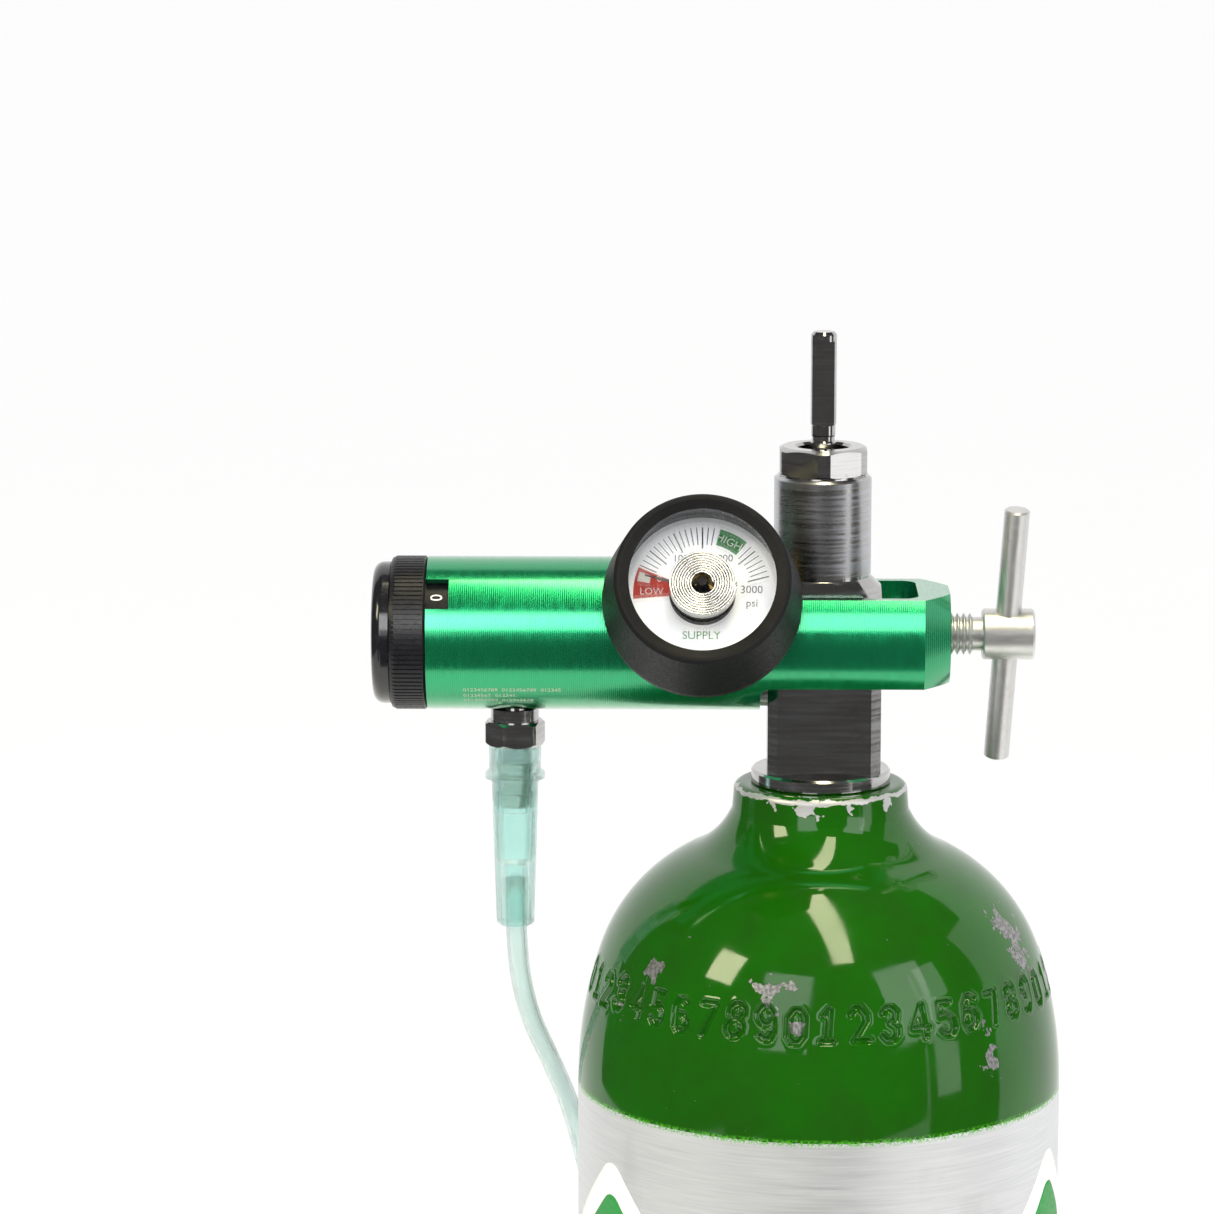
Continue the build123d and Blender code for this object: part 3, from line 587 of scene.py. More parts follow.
def route_line(points, resolution=6):
    """The smooth line of a route: a NURBS spline with the route's points as its control points."""
    curve = bpy.data.curves.new("route", "CURVE")
    curve.dimensions = "3D"
    spline = curve.splines.new("NURBS")
    spline.points.add(len(points) - 1)
    for made, point in zip(spline.points, points):
        made.co = (*point, 1)
    spline.order_u = 3
    spline.use_endpoint_u = True
    spline.resolution_u = resolution
    holder = bpy.data.objects.new("route", curve)
    bpy.context.scene.collection.objects.link(holder)
    bpy.context.view_layer.update()
    mesh = bpy.data.meshes.new_from_object(holder.evaluated_get(bpy.context.evaluated_depsgraph_get()))
    line = [vertex.co.copy() for vertex in mesh.vertices]
    bpy.data.objects.remove(holder)
    bpy.data.meshes.remove(mesh)
    return line


# ---------------------------------------------------------------- cannula
TUBE_R, TUBE_BORE_R = 2.4 * MM, 1.55 * MM
LARIAT_R, LARIAT_BORE_R = 1.6 * MM, 1.0 * MM

SUPPLY_ROUTE = [
    (-70.0, 0.0, 627.0), (-70.0, 0.0, 610.5), (-67.6, 4.8, 594.2), (-62.4, 12.0, 580.5),
    (-57.4, 23.0, 565.0), (-52.6, 34.6, 541.0), (-48.4, 40.6, 503.0), (-44.6, 44.8, 456.0),
    (-41.1, 48.0, 401.0), (-37.9, 50.6, 344.0), (-35.0, 52.8, 287.0), (-32.4, 54.6, 229.0),
    (-30.2, 56.2, 172.0), (-28.5, 57.6, 118.0), (-27.4, 58.4, 77.0), (-26.8, 58.7, 46.0),
    (-27.2, 58.0, 23.0), (-34.9, 56.6, 10.1), (-47.8, 57.0, 2.4), (-61.6, 63.0, 2.4)]
TAIL_ROUTE = [(-27.1, 152.2, 2.4), (-17.6, 148.6, 2.4), (-11.4, 141.2, 2.4), (-10.3, 131.8, 2.8),
              (-14.4, 122.9, 3.8), (-19.7, 114.4, 4.5)]
LEFT_LEAD = [(-29.8, 97.8, 4.6), (-33.4, 89.8, 5.4), (-39.6, 81.4, 6.6), (-47.4, 75.2, 6.6)]
RIGHT_LEAD = [(-26.5, 96.3, 4.6), (-27.0, 88.0, 5.8), (-22.8, 79.4, 8.2), (-14.2, 74.2, 9.8)]


def coil_turns(start, end, first_r, last_r, height, per_turn=16):
    """Points of a flat coil about the ring's centre, angles in degrees, in mm; the ends are left out."""
    steps = max(2, round(abs(end - start) / 360 * per_turn))
    turns = []
    for i in range(1, steps):
        share = i / steps
        angle = math.radians(start + (end - start) * share)
        radius = first_r + (last_r - first_r) * share + 0.15 * math.sin(2.6 * angle)
        turns.append(on_ring(math.degrees(angle), radius, height))
    return turns


def on_ring(angle, radius, height):
    """A point of a route above the ring, in mm."""
    turn = math.radians(angle)
    return (RING_X / MM + radius * math.cos(turn), RING_Y / MM + radius * math.sin(turn), height)


def in_metres(route):
    return [Vector(point) * MM for point in route]


def cannula(pale):
    supply_line = route_line(in_metres(SUPPLY_ROUTE + coil_turns(241, -976, 57.2, 39.8, 2.4) + TAIL_ROUTE))
    supply = add("supply_hose", hose("supply_hose", supply_line, TUBE_R, TUBE_BORE_R), "cylinder",
                 "pale_tubing", pale)
    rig.replaces(supply, "supply_tube", "supply_coil", "supply_tail")
    slide = add("cannula_slide", slide_mesh(), "cylinder", "pale_tubing", pale)
    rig.replaces(slide, "tube_slide")
    nose = add("cannula_nosepiece", nosepiece_mesh(), "cylinder", "pale_tubing", pale)
    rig.replaces(nose, "nosepiece")
    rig.cord(supply, exit=(OUTLET_X, 0, SUPPLY_ROUTE[0][2] * MM), length=line_length(supply_line),
            diameter=2 * TUBE_R, far_end="fitting", stiffness="limp", lay="coiled", path=supply_line,
            with_pieces=[slide])

    left_end = [on_ring(150, 47.0, 7.2), on_ring(128, 48.0, 9.2), on_ring(112, 50.6, 10.8),
                on_ring(101, 53.2, 11.2), on_ring(90, 56.0, 11.2), on_ring(86, 57.0, 11.2)]
    left_line = route_line(in_metres(LEFT_LEAD + coil_turns(250, -198, 41.9, 46.8, 6.6) + left_end))
    right_end = [on_ring(358, 53.4, 7.4), on_ring(370, 54.4, 9.4), on_ring(382, 55.4, 11.0),
                 on_ring(392, 56.2, 11.2), on_ring(395, 56.0, 11.2)]
    right_start = [on_ring(306, 46.2, 9.8), on_ring(318, 48.4, 7.8)]
    right_line = route_line(in_metres(RIGHT_LEAD + right_start + coil_turns(322, 706, 48.9, 52.5, 6.6)
                                      + right_end))
    for name, line in (("left_cannula_hose", left_line), ("right_cannula_hose", right_line)):
        thin = add(name, hose(name, line, LARIAT_R, LARIAT_BORE_R, 12), "cylinder", "pale_tubing", pale)
        if name.startswith("left"):
            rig.replaces(thin, "lariat_coil", "lariat_leads")
        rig.cord(thin, exit=line[0], length=line_length(line), diameter=2 * LARIAT_R, far_end="fitting",
                stiffness="limp", lay="coiled", path=line, with_pieces=[nose])


def line_length(line):
    return sum((b - a).length for a, b in zip(line, line[1:]))


def slide_mesh():
    """Moulded slide: a barrel with two grip grooves and rounded ends."""
    low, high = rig.box("tube_slide")
    centre = (low + high) / 2
    place = Matrix.Translation(centre) @ Matrix.Rotation(math.radians(-25), 4, "Z") @ Matrix.Rotation(
        math.radians(90), 4, "X")
    half, radius = 11 * MM, 4.3 * MM
    outside = arc((radius - 1 * MM, half - 1 * MM), 1 * MM, math.pi / 2, 0, 5)
    for level in (3 * MM, -3 * MM):
        outside += arc((radius + 0.2 * MM, level), 0.9 * MM, math.pi / 2 + 0.2, 3 * math.pi / 2 - 0.2, 6)
    outside = [(min(r, radius), z) for r, z in outside]
    outside += arc((radius - 1 * MM, -half + 1 * MM), 1 * MM, 0, -math.pi / 2, 5)
    return lathe("cannula_slide", [(TUBE_R * 0.9, half)] + outside + [(TUBE_R * 0.9, -half)], place, 32)


def nosepiece_mesh():
    """Soft cross tube, fuller in the middle, with two curved hollow prongs."""
    centre = Vector(on_ring(60, 50.5, 11.2)) * MM
    turn = Matrix.Translation(centre) @ Matrix.Rotation(math.radians(-30), 4, "Z")
    length, parts = 50 * MM, []
    bar, sizes = [], []
    for i in range(25):
        share = i / 24 * 2 - 1
        bar.append(turn @ Vector((share * length / 2, 0, 0)))
        swell = math.exp(-(share * 2.2) ** 2)
        sizes.append(((1.95 + 0.75 * swell) * MM, (1.2 + 0.6 * swell) * MM))
    parts.append(hose("bar", bar, sizes, None, 20))
    for side in (-1, 1):
        prong, widths = [], []
        for i in range(11):
            share = i / 10
            lean = math.radians(12 + 14 * share)
            prong.append(turn @ Vector((side * (8.0 - 0.8 * share) * MM, -math.sin(lean) * 12.4 * MM * share,
                                        (1.4 + 11.0 * share) * MM)))
            widths.append(((1.85 - 0.35 * share) * MM, (1.2 - 0.2 * share) * MM))
        parts.append(hose("prong", prong, widths, None, 16))
    return join("cannula_nosepiece", parts)


def join(name, meshes, places=None):
    """One mesh from several, each put in its place."""
    work = bmesh.new()
    for i, mesh in enumerate(meshes):
        if places:
            mesh.transform(places[i])
        work.from_mesh(mesh)
        bpy.data.meshes.remove(mesh)
    mesh = bpy.data.meshes.new(name)
    work.to_mesh(mesh)
    work.free()
    return mesh


# ---------------------------------------------------------------- cylinder skin
def shell_profile():
    """Outer line of the cylinder from the centre of its base to the rim, as (radius, height)."""
    top, corner = SHELL_TOP, 14 * MM
    line = [(0.0, 0.0), (SHELL_R - corner, 0.0)]
    line += arc((SHELL_R - corner, corner), corner, -math.pi / 2, 0, 12)[1:]
    line += [(SHELL_R, corner + (top - 70 * MM - corner) * i / 8) for i in range(1, 9)]
    line += tangent_arc(line[-1], (0, 1), (50.6 * MM, top - 39.5 * MM), 34)
    line += tangent_arc(line[-1], heading(line), (29.5 * MM, top - 15.8 * MM), 62)
    line += tangent_arc(line[-1], heading(line), (20.2 * MM, top - 6 * MM), 16)
    line += [(19.9 * MM, top - 1.8 * MM)]
    line += tangent_arc(line[-1], (0, 1), (18.1 * MM, top), 6)
    line += [(12.3 * MM, top), (9.5 * MM, top - 3 * MM), (9.5 * MM, top - 28 * MM)]
    return line


def heading(line):
    """Direction at the end of an arc, from its last two chords."""
    (ax, ay), (bx, by), (cx, cy) = line[-3:]
    before, after = math.atan2(by - ay, bx - ax), math.atan2(cy - by, cx - bx)
    angle = after + (after - before) / 2
    return (math.cos(angle), math.sin(angle))


def tangent_arc(start, direction, end, steps):
    """Arc from start, leaving in a direction, to end; the start point is left out."""
    dx, dy = end[0] - start[0], end[1] - start[1]
    size = math.hypot(*direction)
    nx, ny = -direction[1] / size, direction[0] / size
    across = 2 * (dx * nx + dy * ny)
    radius = (dx * dx + dy * dy) / across
    cx, cy = start[0] + nx * radius, start[1] + ny * radius
    first = math.atan2(start[1] - cy, start[0] - cx)
    last = math.atan2(end[1] - cy, end[0] - cx)
    turn = (last - first) % (2 * math.pi) if radius > 0 else -((first - last) % (2 * math.pi))
    angles = [first + turn * i / steps for i in range(1, steps + 1)]
    return [(cx + abs(radius) * math.cos(angle), cy + abs(radius) * math.sin(angle)) for angle in angles]


# Stamped figures as strokes on a cell one unit wide and two high
STROKES = {
    "0": [[(0, 0.4), (0.3, 0), (0.7, 0), (1, 0.4), (1, 1.6), (0.7, 2), (0.3, 2), (0, 1.6), (0, 0.4)]],
    "1": [[(0.2, 1.6), (0.55, 2), (0.55, 0)], [(0.15, 0), (0.95, 0)]],
    "2": [[(0, 1.6), (0.3, 2), (0.7, 2), (1, 1.6), (1, 1.2), (0, 0), (1, 0)]],
    "3": [[(0, 1.7), (0.3, 2), (0.7, 2), (1, 1.7), (0.9, 1.2), (0.5, 1.05), (1, 0.75), (1, 0.3), (0.7, 0),
           (0.3, 0), (0, 0.3)]],
    "4": [[(0.8, 0), (0.8, 2), (0, 0.6), (1.05, 0.6)]],
    "5": [[(0.95, 2), (0.1, 2), (0.05, 1.15), (0.6, 1.25), (1, 0.9), (1, 0.35), (0.7, 0), (0.3, 0),
           (0, 0.3)]],
    "6": [[(0.9, 1.8), (0.6, 2), (0.3, 2), (0, 1.5), (0, 0.4), (0.3, 0), (0.7, 0), (1, 0.4), (1, 0.7),
           (0.7, 1.1), (0.3, 1.1), (0, 0.7)]],
    "7": [[(0, 2), (1, 2), (0.4, 0)]],
    "8": [[(0.3, 1.08), (0.03, 1.4), (0.05, 1.75), (0.3, 2), (0.7, 2), (0.95, 1.75), (0.97, 1.4), (0.7, 1.08),
           (0.3, 1.08), (0, 0.7), (0, 0.35), (0.3, 0), (0.7, 0), (1, 0.35), (1, 0.7), (0.7, 1.08)]],
    "9": [[(0.1, 0.2), (0.4, 0), (0.7, 0), (1, 0.5), (1, 1.6), (0.7, 2), (0.3, 2), (0, 1.6), (0, 1.3),
           (0.3, 0.9), (0.7, 0.9), (1, 1.3)]]}
STAMP_TEXT = "0123456789" * 3 + "01234567"
STAMP_PITCH_DEG, STAMP_WIDTH, STAMP_LOW, STAMP_HIGH = 7.7, 3.3 * MM, 602.4 * MM, 609.3 * MM
STAMP_DEPTH, STROKE_HALF = 0.85 * MM, 0.60 * MM


def stamp_strokes():
    """Every stroke as ((turn, height), (turn, height)), the turn as a length round the shoulder."""
    reach = dome_radius((STAMP_LOW + STAMP_HIGH) / 2)
    random.seed(4)
    strokes = []
    for i, figure in enumerate(STAMP_TEXT):
        middle = reach * math.radians(-84 + STAMP_PITCH_DEG * i)
        shift, tilt = random.uniform(-0.45, 0.45) * MM, random.uniform(-0.06, 0.06)
        tall = STAMP_HIGH - STAMP_LOW
        for line in STROKES[figure]:
            spots = [(middle + (x - 0.5) * STAMP_WIDTH + (y - 1) * tilt * tall,
                      STAMP_LOW + shift + y / 2 * tall) for x, y in line]
            strokes += list(zip(spots, spots[1:]))
    return strokes, reach


def shell_mesh():
    """The shell's outer surface, with the figures pressed into the shoulder."""
    strokes, reach = stamp_strokes()
    columns = 800
    coarse = shell_profile()
    low, high = STAMP_LOW - 1.6 * MM, STAMP_HIGH + 1.6 * MM
    rows = 36
    levels = [low + (high - low) * i / rows for i in range(rows + 1)]
    fine = [(dome_radius(level), level) for level in levels]
    before = [p for p in coarse if p[1] < low - 0.2 * MM and coarse.index(p) < len(coarse) - 3]
    after = coarse[len(before):]
    after = [p for i, p in enumerate(after) if p[1] > high + 0.2 * MM or i > len(after) - 4]
    buckets = {}
    width = 2 * math.pi * reach / columns
    for stroke in strokes:
        near = [min(p[0] for p in stroke) - 1.2 * MM, max(p[0] for p in stroke) + 1.2 * MM]
        for column in range(math.floor(near[0] / width), math.ceil(near[1] / width) + 1):
            buckets.setdefault(column % columns, []).append(stroke)
    profile = before + fine + after
    inward = {}
    for i in range(len(before), len(before) + rows + 1):
        (r0, z0), (r1, z1) = profile[i - 1], profile[min(i + 1, len(profile) - 1)]
        size = math.hypot(r1 - r0, z1 - z0)
        inward[i] = (-(z1 - z0) / size, (r1 - r0) / size)
    work = bmesh.new()
    rings = []
    for i, (radius, height) in enumerate(profile):
        if radius < 1e-6:
            continue
        ring = []
        for column in range(columns):
            r, z = radius, height
            if i in inward and column in buckets:
                depth = press(column, width, columns, height, buckets[column])
                r, z = r + inward[i][0] * depth, z + inward[i][1] * depth
            angle = 2 * math.pi * column / columns
            ring.append(work.verts.new((r * math.sin(angle), -r * math.cos(angle), z)))
        rings.append(ring)
    skin(work, rings)
    work.faces.new(rings[0])
    return smooth(from_bmesh("shell_skin", work))


def press(column, width, columns, height, strokes):
    """Depth of the stamp at a place: full on a stroke's line, none half a stroke's width away."""
    along = column * width
    span = columns * width
    nearest = 1.0
    for (ax, ay), (bx, by) in strokes:
        px = along + span * round(((ax + bx) / 2 - along) / span)
        length = (bx - ax) ** 2 + (by - ay) ** 2
        share = min(1.0, max(0.0, ((px - ax) * (bx - ax) + (height - ay) * (by - ay)) / length))
        nearest = min(nearest, math.hypot(px - ax - share * (bx - ax), height - ay - share * (by - ay)))
    rise = min(1.0, max(0.0, 1.45 - nearest / STROKE_HALF))
    lip = math.exp(-((nearest / STROKE_HALF - 1.75) / 0.45) ** 2)
    return STAMP_DEPTH * (rise * rise * (3 - 2 * rise) - 0.14 * lip)


# ---------------------------------------------------------------- lettering and print
def letters(text, size, place, lift, extrude=0.015 * MM):
    """Text as a thin mesh, size its height in metres, middle on the place's origin, facing local Z."""
    curve = bpy.data.curves.new("text", "FONT")
    curve.body, curve.size = text, size / 0.73
    curve.align_x, curve.align_y = "CENTER", "CENTER"
    curve.extrude, curve.resolution_u = extrude, 3
    holder = bpy.data.objects.new("text", curve)
    bpy.context.scene.collection.objects.link(holder)
    bpy.context.view_layer.update()
    mesh = bpy.data.meshes.new_from_object(holder.evaluated_get(bpy.context.evaluated_depsgraph_get()))
    bpy.data.objects.remove(holder)
    mesh.transform(place @ Matrix.Translation((0, 0, lift)))
    return mesh


def patch(corners, thickness, place):
    """Flat plate from its corners, with its underside on local z 0."""
    work = bmesh.new()
    low = [work.verts.new((x, y, 0)) for x, y in corners]
    high = [work.verts.new((x, y, thickness)) for x, y in corners]
    skin(work, [low, high])
    work.faces.new(low)
    work.faces.new(high)
    mesh = from_bmesh("patch", work)
    mesh.transform(place)
    return mesh


def sector(inner, outer, start, end, thickness, place):
    """Part of a ring, angles in degrees counter-clockwise."""
    steps = max(2, round(abs(end - start) / 4))
    turns = [math.radians(start + (end - start) * i / steps) for i in range(steps + 1)]
    corners = [(outer * math.cos(a), outer * math.sin(a)) for a in turns]
    corners += [(inner * math.cos(a), inner * math.sin(a)) for a in reversed(turns)]
    return patch(corners, thickness, place)


def dial_print(inks):
    """Scale, sectors and words on the dial, each ink a thin layer of its own."""
    face = GAUGE @ Matrix.Translation((0, 0, DIAL_STATION))
    first, second = 0.02 * MM, 0.05 * MM
    black = []
    for i in range(31):
        angle = 165 - 5 * i
        turn = face @ Matrix.Rotation(math.radians(angle), 4, "Z")
        inner = 10.4 if i % 5 == 0 else 11.3
        half = 0.16 if i % 5 == 0 else 0.11
        if angle <= 155 and not 50 <= angle <= 75:
            black.append(patch([(x * MM, y * MM) for x, y in ((inner, -half), (15.3, -half), (15.3, half),
                                                              (inner, half))], first, turn))
    for text, x, y, size in (("1000", -4.3, 8.0, 1.7), ("2000", 4.5, 8.1, 1.7), ("3000", 10.9, 0.8, 1.85),
                             ("psi", 11.0, -2.3, 1.8)):
        black.append(letters(text, size * MM, face @ Matrix.Translation((x * MM, y * MM, 0)), first))
    green = [sector(11.6 * MM, 15.4 * MM, 50, 75, first, face),
             letters("SUPPLY", 1.9 * MM, face @ Matrix.Translation((-0.2 * MM, -9.8 * MM, 0)), first)]
    red = [sector(7.2 * MM, 15.4 * MM, 157, 185, first, face)]
    white = [sector(12.0 * MM, 14.8 * MM, 160.5, 169, second, face)]
    for text, x, y, size, turn in (("HIGH", 5.9, 11.9, 1.9, -27), ("LOW", -11.3, 0.35, 1.65, 0),
                                   ("0", -9.6, 3.3, 1.7, 0)):
        spot = face @ Matrix.Translation((x * MM, y * MM, 0)) @ Matrix.Rotation(math.radians(turn), 4, "Z")
        white.append(letters(text, size * MM, spot, second))
    for name, meshes in (("black", black), ("green", green), ("red", red), ("white", white)):
        add("dial_print_" + name, join("dial_print_" + name, meshes), "cylinder", "dial_white", inks[name])


def spiral_tube(silver):
    """The gauge's flat spiral tube with its rounded front edge, on its riser and foot."""
    inner, pitch, turns, half, low, high = 2.33 * MM, 0.567 * MM, 9, 0.22 * MM, 37.2 * MM, 40.0 * MM
    profile = [(half, low)] + arc((0, high - half), half, 0, math.pi, 6) + [(-half, low)]
    work = bmesh.new()
    rings = []
    for i in range(turns * 40 + 1):
        angle = 2 * math.pi * i / 40
        radius = inner + pitch * i / 40
        rings.append([work.verts.new(((radius + x) * math.cos(angle), (radius + x) * math.sin(angle), z))
                      for x, z in profile])
    skin(work, rings)
    work.faces.new(rings[0])
    work.faces.new(rings[-1])
    coil = smooth(from_bmesh("spiral", work))
    far, near, wide = 7.15 * MM, 6.35 * MM, 1.15 * MM
    riser = patch([(near, -wide), (far, -wide), (far, wide), (near, wide)], 8.9 * MM,
                  Matrix.Translation((0, 0, 28.4 * MM)))
    foot = patch([(1.4 * MM, -wide), (far, -wide), (far, wide), (1.4 * MM, wide)], 1.18 * MM,
                 Matrix.Translation((0, 0, 27.42 * MM)))
    made = add("gauge_spiral_tube", join("gauge_spiral_tube", [coil, riser, foot], [GAUGE] * 3), "cylinder",
               "brass", silver)
    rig.replaces(made, "bourdon_coil")
    return made


def drum_print(white):
    """Flow figures round the number drum, read with the barrel lying down."""
    figures = ("0", "1/8", "1/4", "1/2", "3/4", "1", "1.5", "2", "3", "4", "6", "8")
    middle, shown_turn = -87.1 * MM, -41
    meshes = []
    for i, text in enumerate(figures):
        height = 2.9 * MM if len(text) == 1 else 1.9 * MM
        around = Matrix.Rotation(math.radians(shown_turn + 360 / len(figures) * i), 4, "X")
        out = Matrix.Rotation(math.radians(90), 4, "X") @ Matrix.Rotation(math.radians(90), 4, "Z")
        place = Matrix.Translation((middle, 0, BARREL_Z)) @ around @ out
        mesh = letters(text, height, Matrix.Identity(4), 0.0)
        mesh.transform(Matrix.Scale(0.9, 4, (1, 0, 0)))
        wrap(mesh, DRUM_R + 0.05 * MM, "y")
        mesh.transform(place)
        meshes.append(mesh)
    add("drum_figures", join("drum_figures", meshes), "selector", "black_metal", white)


def wrap(mesh, radius, across):
    """Bends a flat mesh onto a cylinder of that radius; across is the local axis that goes round."""
    for vertex in mesh.vertices:
        flat = vertex.co.copy()
        angle = (flat.x if across == "x" else flat.y) / radius
        reach = radius + flat.z
        if across == "x":
            vertex.co = (reach * math.sin(angle), flat.y, reach * math.cos(angle))
        else:
            vertex.co = (flat.x, reach * math.sin(angle), reach * math.cos(angle))


def engraving(pale):
    """Three plain runs of figures, in small print low on the barrel's front."""
    lines = ("0123456789  0123456789  012345", "01234567  012345", "0123456789  012345678")
    left_end, first_turn, line_turn = -81.2 * MM, 37.5, 6.6
    meshes = []
    for i, text in enumerate(lines):
        mesh = letters(text, 1.15 * MM, Matrix.Identity(4), 0.0, 0.01 * MM)
        start = min(v.co.x for v in mesh.vertices)
        mesh.transform(Matrix.Translation((-start, 0, 0)))
        wrap(mesh, BARREL_R + 0.02 * MM, "y")
        turn = Matrix.Rotation(math.radians(first_turn + line_turn * i), 4, "X")
        facing = Matrix.Rotation(math.radians(90), 4, "X")
        mesh.transform(Matrix.Translation((left_end, 0, BARREL_Z)) @ turn @ facing)
        meshes.append(mesh)
    add("barrel_engraving", join("barrel_engraving", meshes), "cylinder", "green_anodised", pale)


def label(name, turn, apex_z, inks):
    """Square label set on its corner, with rounded corners and a plain green panel, wrapped on."""
    half, corner, tucked = 34 * MM, 4.5 * MM, -0.02 * MM
    side_steps, ring_count = 32, 30
    middle = (half - corner) * math.sqrt(2)
    outline = []
    for quarter in range(4):
        facing = quarter * math.pi / 2
        begin, finish = (quarter - 0.5) * math.pi / 2, (quarter + 0.5) * math.pi / 2
        outline += [(math.cos(facing) * middle + x, math.sin(facing) * middle + y)
                    for x, y in arc((0, 0), corner, begin, finish, 6)]
        (ax, ay), nx, ny = outline[-1], -math.sin(facing), math.cos(facing)
        bx = nx * middle + corner * math.cos(finish)
        by = ny * middle + corner * math.sin(finish)
        outline += [(ax + (bx - ax) * i / side_steps, ay + (by - ay) * i / side_steps)
                    for i in range(1, side_steps)]
    top = max(y for x, y in outline)
    for size, lift, key in ((1.0, 0.05 * MM, "paper"), (0.84, 0.09 * MM, "green")):
        work = bmesh.new()
        rings = []
        front = [(i / ring_count * size, lift) for i in range(1, ring_count + 1)]
        for share, out in front + [(size, tucked), (0.1, tucked)]:
            ring = []
            for x, y in outline:
                angle = turn + x * share / SHELL_R
                reach = SHELL_R + out
                ring.append(work.verts.new((reach * math.sin(angle), -reach * math.cos(angle),
                                            apex_z - top + y * share)))
            rings.append(ring)
        skin(work, rings)
        work.faces.new(rings[0])
        work.faces.new(rings[-1])
        add(name + "_" + key, smooth(from_bmesh(name, work)), "cylinder", "dial_white", inks[key])


# ---------------------------------------------------------------- room
def softbox(name, azimuth, elevation, distance, width, height, watts, only=None, colour=(1, 1, 1)):
    """Area light that faces the regulator; azimuth 0 is in front and grows to the right."""
    a, e = math.radians(azimuth), math.radians(elevation)
    towards = Vector((math.sin(a) * math.cos(e), -math.cos(a) * math.cos(e), math.sin(e)))
    data = bpy.data.lights.new(name, "AREA")
    data.shape, data.size, data.size_y, data.energy = "RECTANGLE", width, height, watts
    data.color = colour
    made = bpy.data.objects.new(name, data)
    made.location = Vector((-0.02, 0, 0.66)) + towards * distance
    made.rotation_mode = "QUATERNION"
    made.rotation_quaternion = towards.to_track_quat("Z", "Y")
    bpy.context.scene.collection.objects.link(made)
    if only:
        group = bpy.data.collections.new(name)
        for receiver in only:
            group.objects.link(receiver)
        made.light_linking.receiver_collection = group
    return made


def plane(name, size, place, material):
    work = bmesh.new()
    signs = ((-1, -1), (1, -1), (1, 1), (-1, 1))
    corners = [work.verts.new((x * size[0] / 2, y * size[1] / 2, 0)) for x, y in signs]
    work.faces.new(corners)
    mesh = bpy.data.meshes.new(name)
    work.to_mesh(mesh)
    work.free()
    mesh.materials.append(material)
    made = bpy.data.objects.new(name, mesh)
    made.matrix_world = place
    bpy.context.scene.collection.objects.link(made)
    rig.stage(made)
    return made


def room(dial):
    """Pale floor, even light all round, soft boxes, and dark panels that only reflections see."""
    world = bpy.data.worlds.new("studio")
    world.use_nodes = True
    world.node_tree.nodes["Background"].inputs["Color"].default_value = (1.0, 1.0, 1.0, 1)
    world.node_tree.nodes["Background"].inputs["Strength"].default_value = 1.0
    bpy.context.scene.world = world
    bpy.context.scene.view_settings.view_transform = "Standard"
    pale = Finish("floor", (0.98, 0.98, 0.98), 0.8)
    pale.tint(pale.span(pale.noise(3, 2), 0.3, 0.7, 0.0, 0.1), (0.95, 0.95, 0.95))
    plane("floor", (80, 80), Matrix.Translation((0, 20, 0)), pale.material)
    dark = Finish("flag", (0.075, 0.075, 0.078), 1.0, 0.0, Specular_IOR_Level=0.0).material
    for name, size, azimuth, distance, height in (("front_flag", (0.62, 0.58), 0, 0.62, 0.30),
                                                  ("left_flag", (0.22, 1.1), -38, 0.9, 0.62),
                                                  ("front_wall", (4.6, 4.4), 0, 1.9, 2.2),
                                                  ("left_wall", (3.4, 4.4), -84, 1.9, 2.2),
                                                  ("right_wall", (1.4, 4.4), 72, 1.9, 2.2)):
        a = math.radians(azimuth)
        spot = Vector((math.sin(a) * distance, -math.cos(a) * distance, height))
        unseen(plane(name, size, Matrix.Translation(spot) @ Matrix.Rotation(a, 4, "Z")
                     @ Matrix.Rotation(math.radians(90), 4, "X"), dark))
    unseen(plane("ceiling", (4.6, 3.4), Matrix.Translation((0, -0.7, 2.5)), dark))
    barrel = [NODES[name] for name in ("regulator_body", "flow_knob", "knob_cap")]
    warm = (1.0, 0.93, 0.62)
    softbox("barrel_box", 0, 28.5, 1.3, 1.2, 0.62, 11, barrel)
    softbox("dial_box", 0, 40, 1.3, 0.5, 0.5, 6, dial)
    softbox("strip_box", 16, 72, 1.2, 0.22, 1.2, 9, colour=warm)
    softbox("left_box", -58, 34, 1.3, 0.34, 0.42, 5.5, colour=warm)
    softbox("right_box", 62, 12, 1.3, 0.30, 1.0, 1.6)
    softbox("window_left", -18, 22, 1.3, 0.55, 0.75, 3.2)
    softbox("window_right", 46, 22, 1.3, 0.55, 0.75, 3.2)


def unseen(flag):
    """Leaves a panel to reflections alone."""
    flag.visible_camera = False
    flag.visible_diffuse = False
    flag.visible_shadow = False
    flag.visible_transmission = False


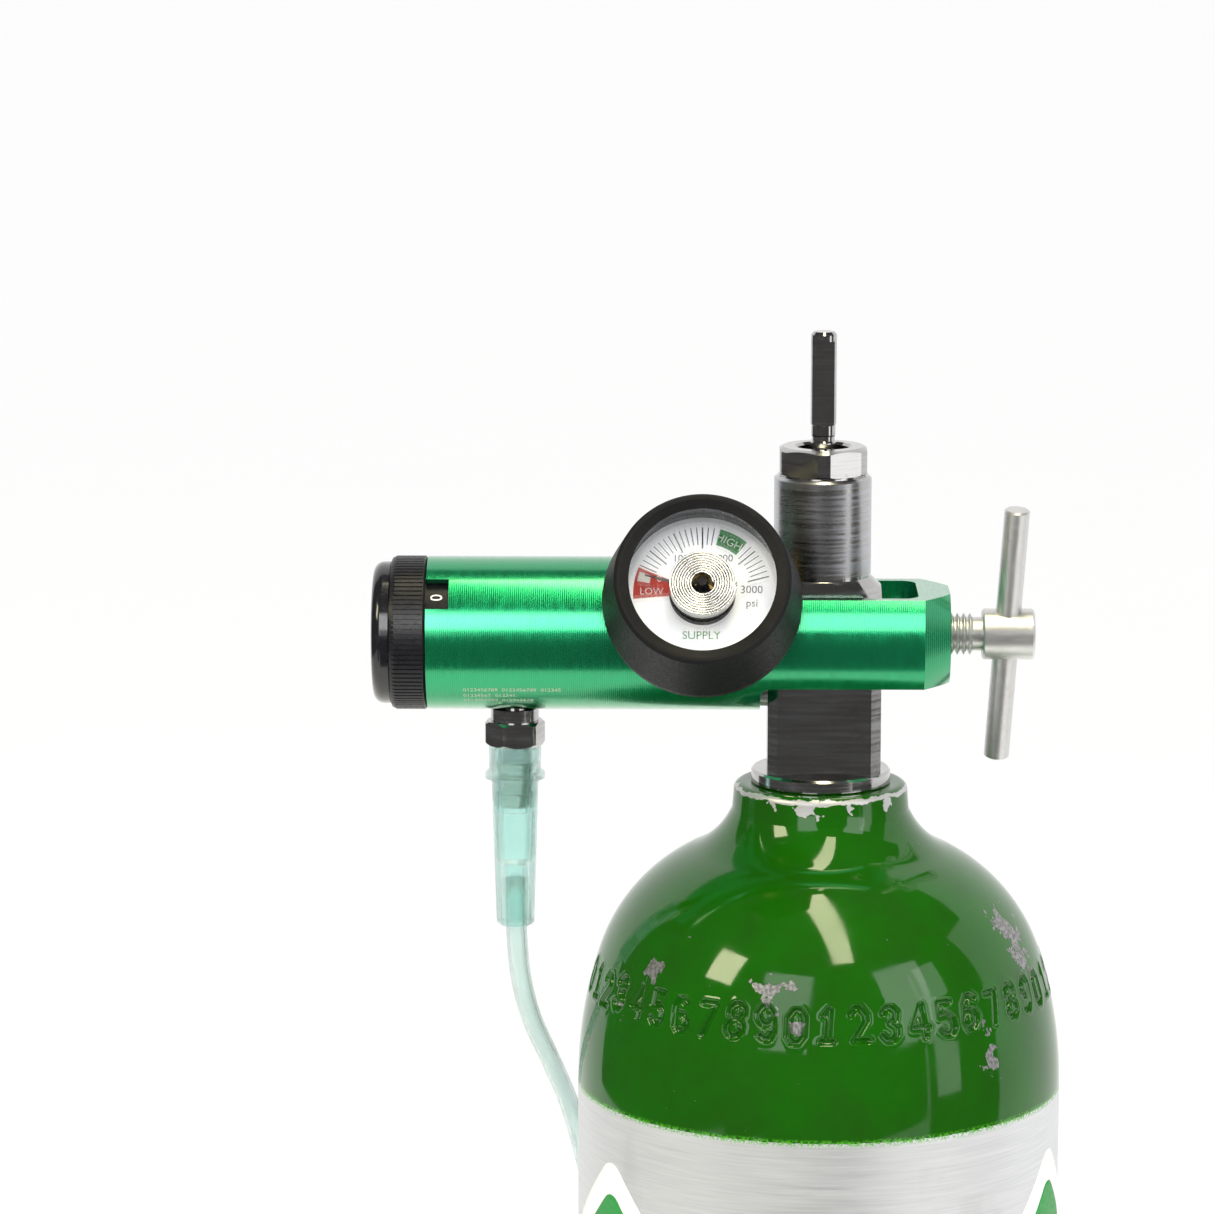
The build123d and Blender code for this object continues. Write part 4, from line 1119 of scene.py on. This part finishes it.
# ---------------------------------------------------------------- the object
def finishes():
    """The finish of every node that keeps its own shape."""
    green, plate, steel_made, brass_made = anodised_green(), chrome(), steel(), brass()
    knob, gloss, soft = black_moulded("black_satin", 0.34), black_moulded("black_gloss", 0.16, 0.5), rubber()
    white, dial, lens = seal(), dial_white(), clear_lens()
    teal = vinyl("teal_vinyl", (0.56, 0.88, 0.82), 0.92, 0.62)
    groups = {
        green: ["regulator_body"],
        plate: ["valve_body", "packing_nut", "outlet_barb", "valve_spindle"],
        steel_made: ["t_bar", "yoke_screw", "screw_tip", "index_pins", "piston_spring", "detent_balls",
                     "knob_screw", "selector_shaft"],
        brass_made: ["relief_plug", "burst_disc", "brass_sleeve", "inlet_nozzle", "inlet_filter",
                     "flow_block", "end_plug", "gauge_socket", "valve_plug", "orifice_plate", "piston"],
        knob: ["flow_knob", "indicator_drum", "gauge_case", "gauge_pointer"],
        gloss: ["knob_cap"],
        soft: ["gauge_boot", "neck_oring", "piston_oring"],
        white: ["stem_packing", "yoke_washer", "plug_seat", "piston_seat"],
        dial: ["gauge_dial"], lens: ["gauge_lens"], teal: ["tubing_connector"]}
    for material, names in groups.items():
        for name in names:
            mesh = NODES[name].data
            mesh.materials.clear()
            mesh.materials.append(material)


def main():
    camera()
    cannula(vinyl("pale_tubing", (0.80, 0.93, 0.915), 0.8, 0.8, 0.08))
    finishes()
    shell = add("shell_skin", shell_mesh(), "cylinder", "painted_aluminium", painted_aluminium())
    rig.replaces(shell, "cylinder_shell")
    inks = {"black": ink("ink_black", (0.02, 0.02, 0.022)), "green": ink("ink_green", (0.01, 0.26, 0.04)),
            "red": ink("ink_red", (0.62, 0.03, 0.02)), "white": ink("ink_white", (0.85, 0.85, 0.85)),
            "paper": ink("label_paper", (0.82, 0.82, 0.80)), "beige": ink("engraving", (0.42, 0.50, 0.36))}
    dial_print(inks)
    room([NODES["gauge_dial"], spiral_tube(bright_brass())])
    drum_print(inks["white"])
    engraving(inks["beige"])
    label("left_label", math.radians(-58.5), 567.5 * MM, inks)
    label("right_label", math.radians(69), 568.6 * MM, inks)


main()
with open("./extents.json", "w") as out:
    json.dump({"cad": [list(c) for c in CAD_BOX], "visual": [list(c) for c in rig.bounds()]}, out)
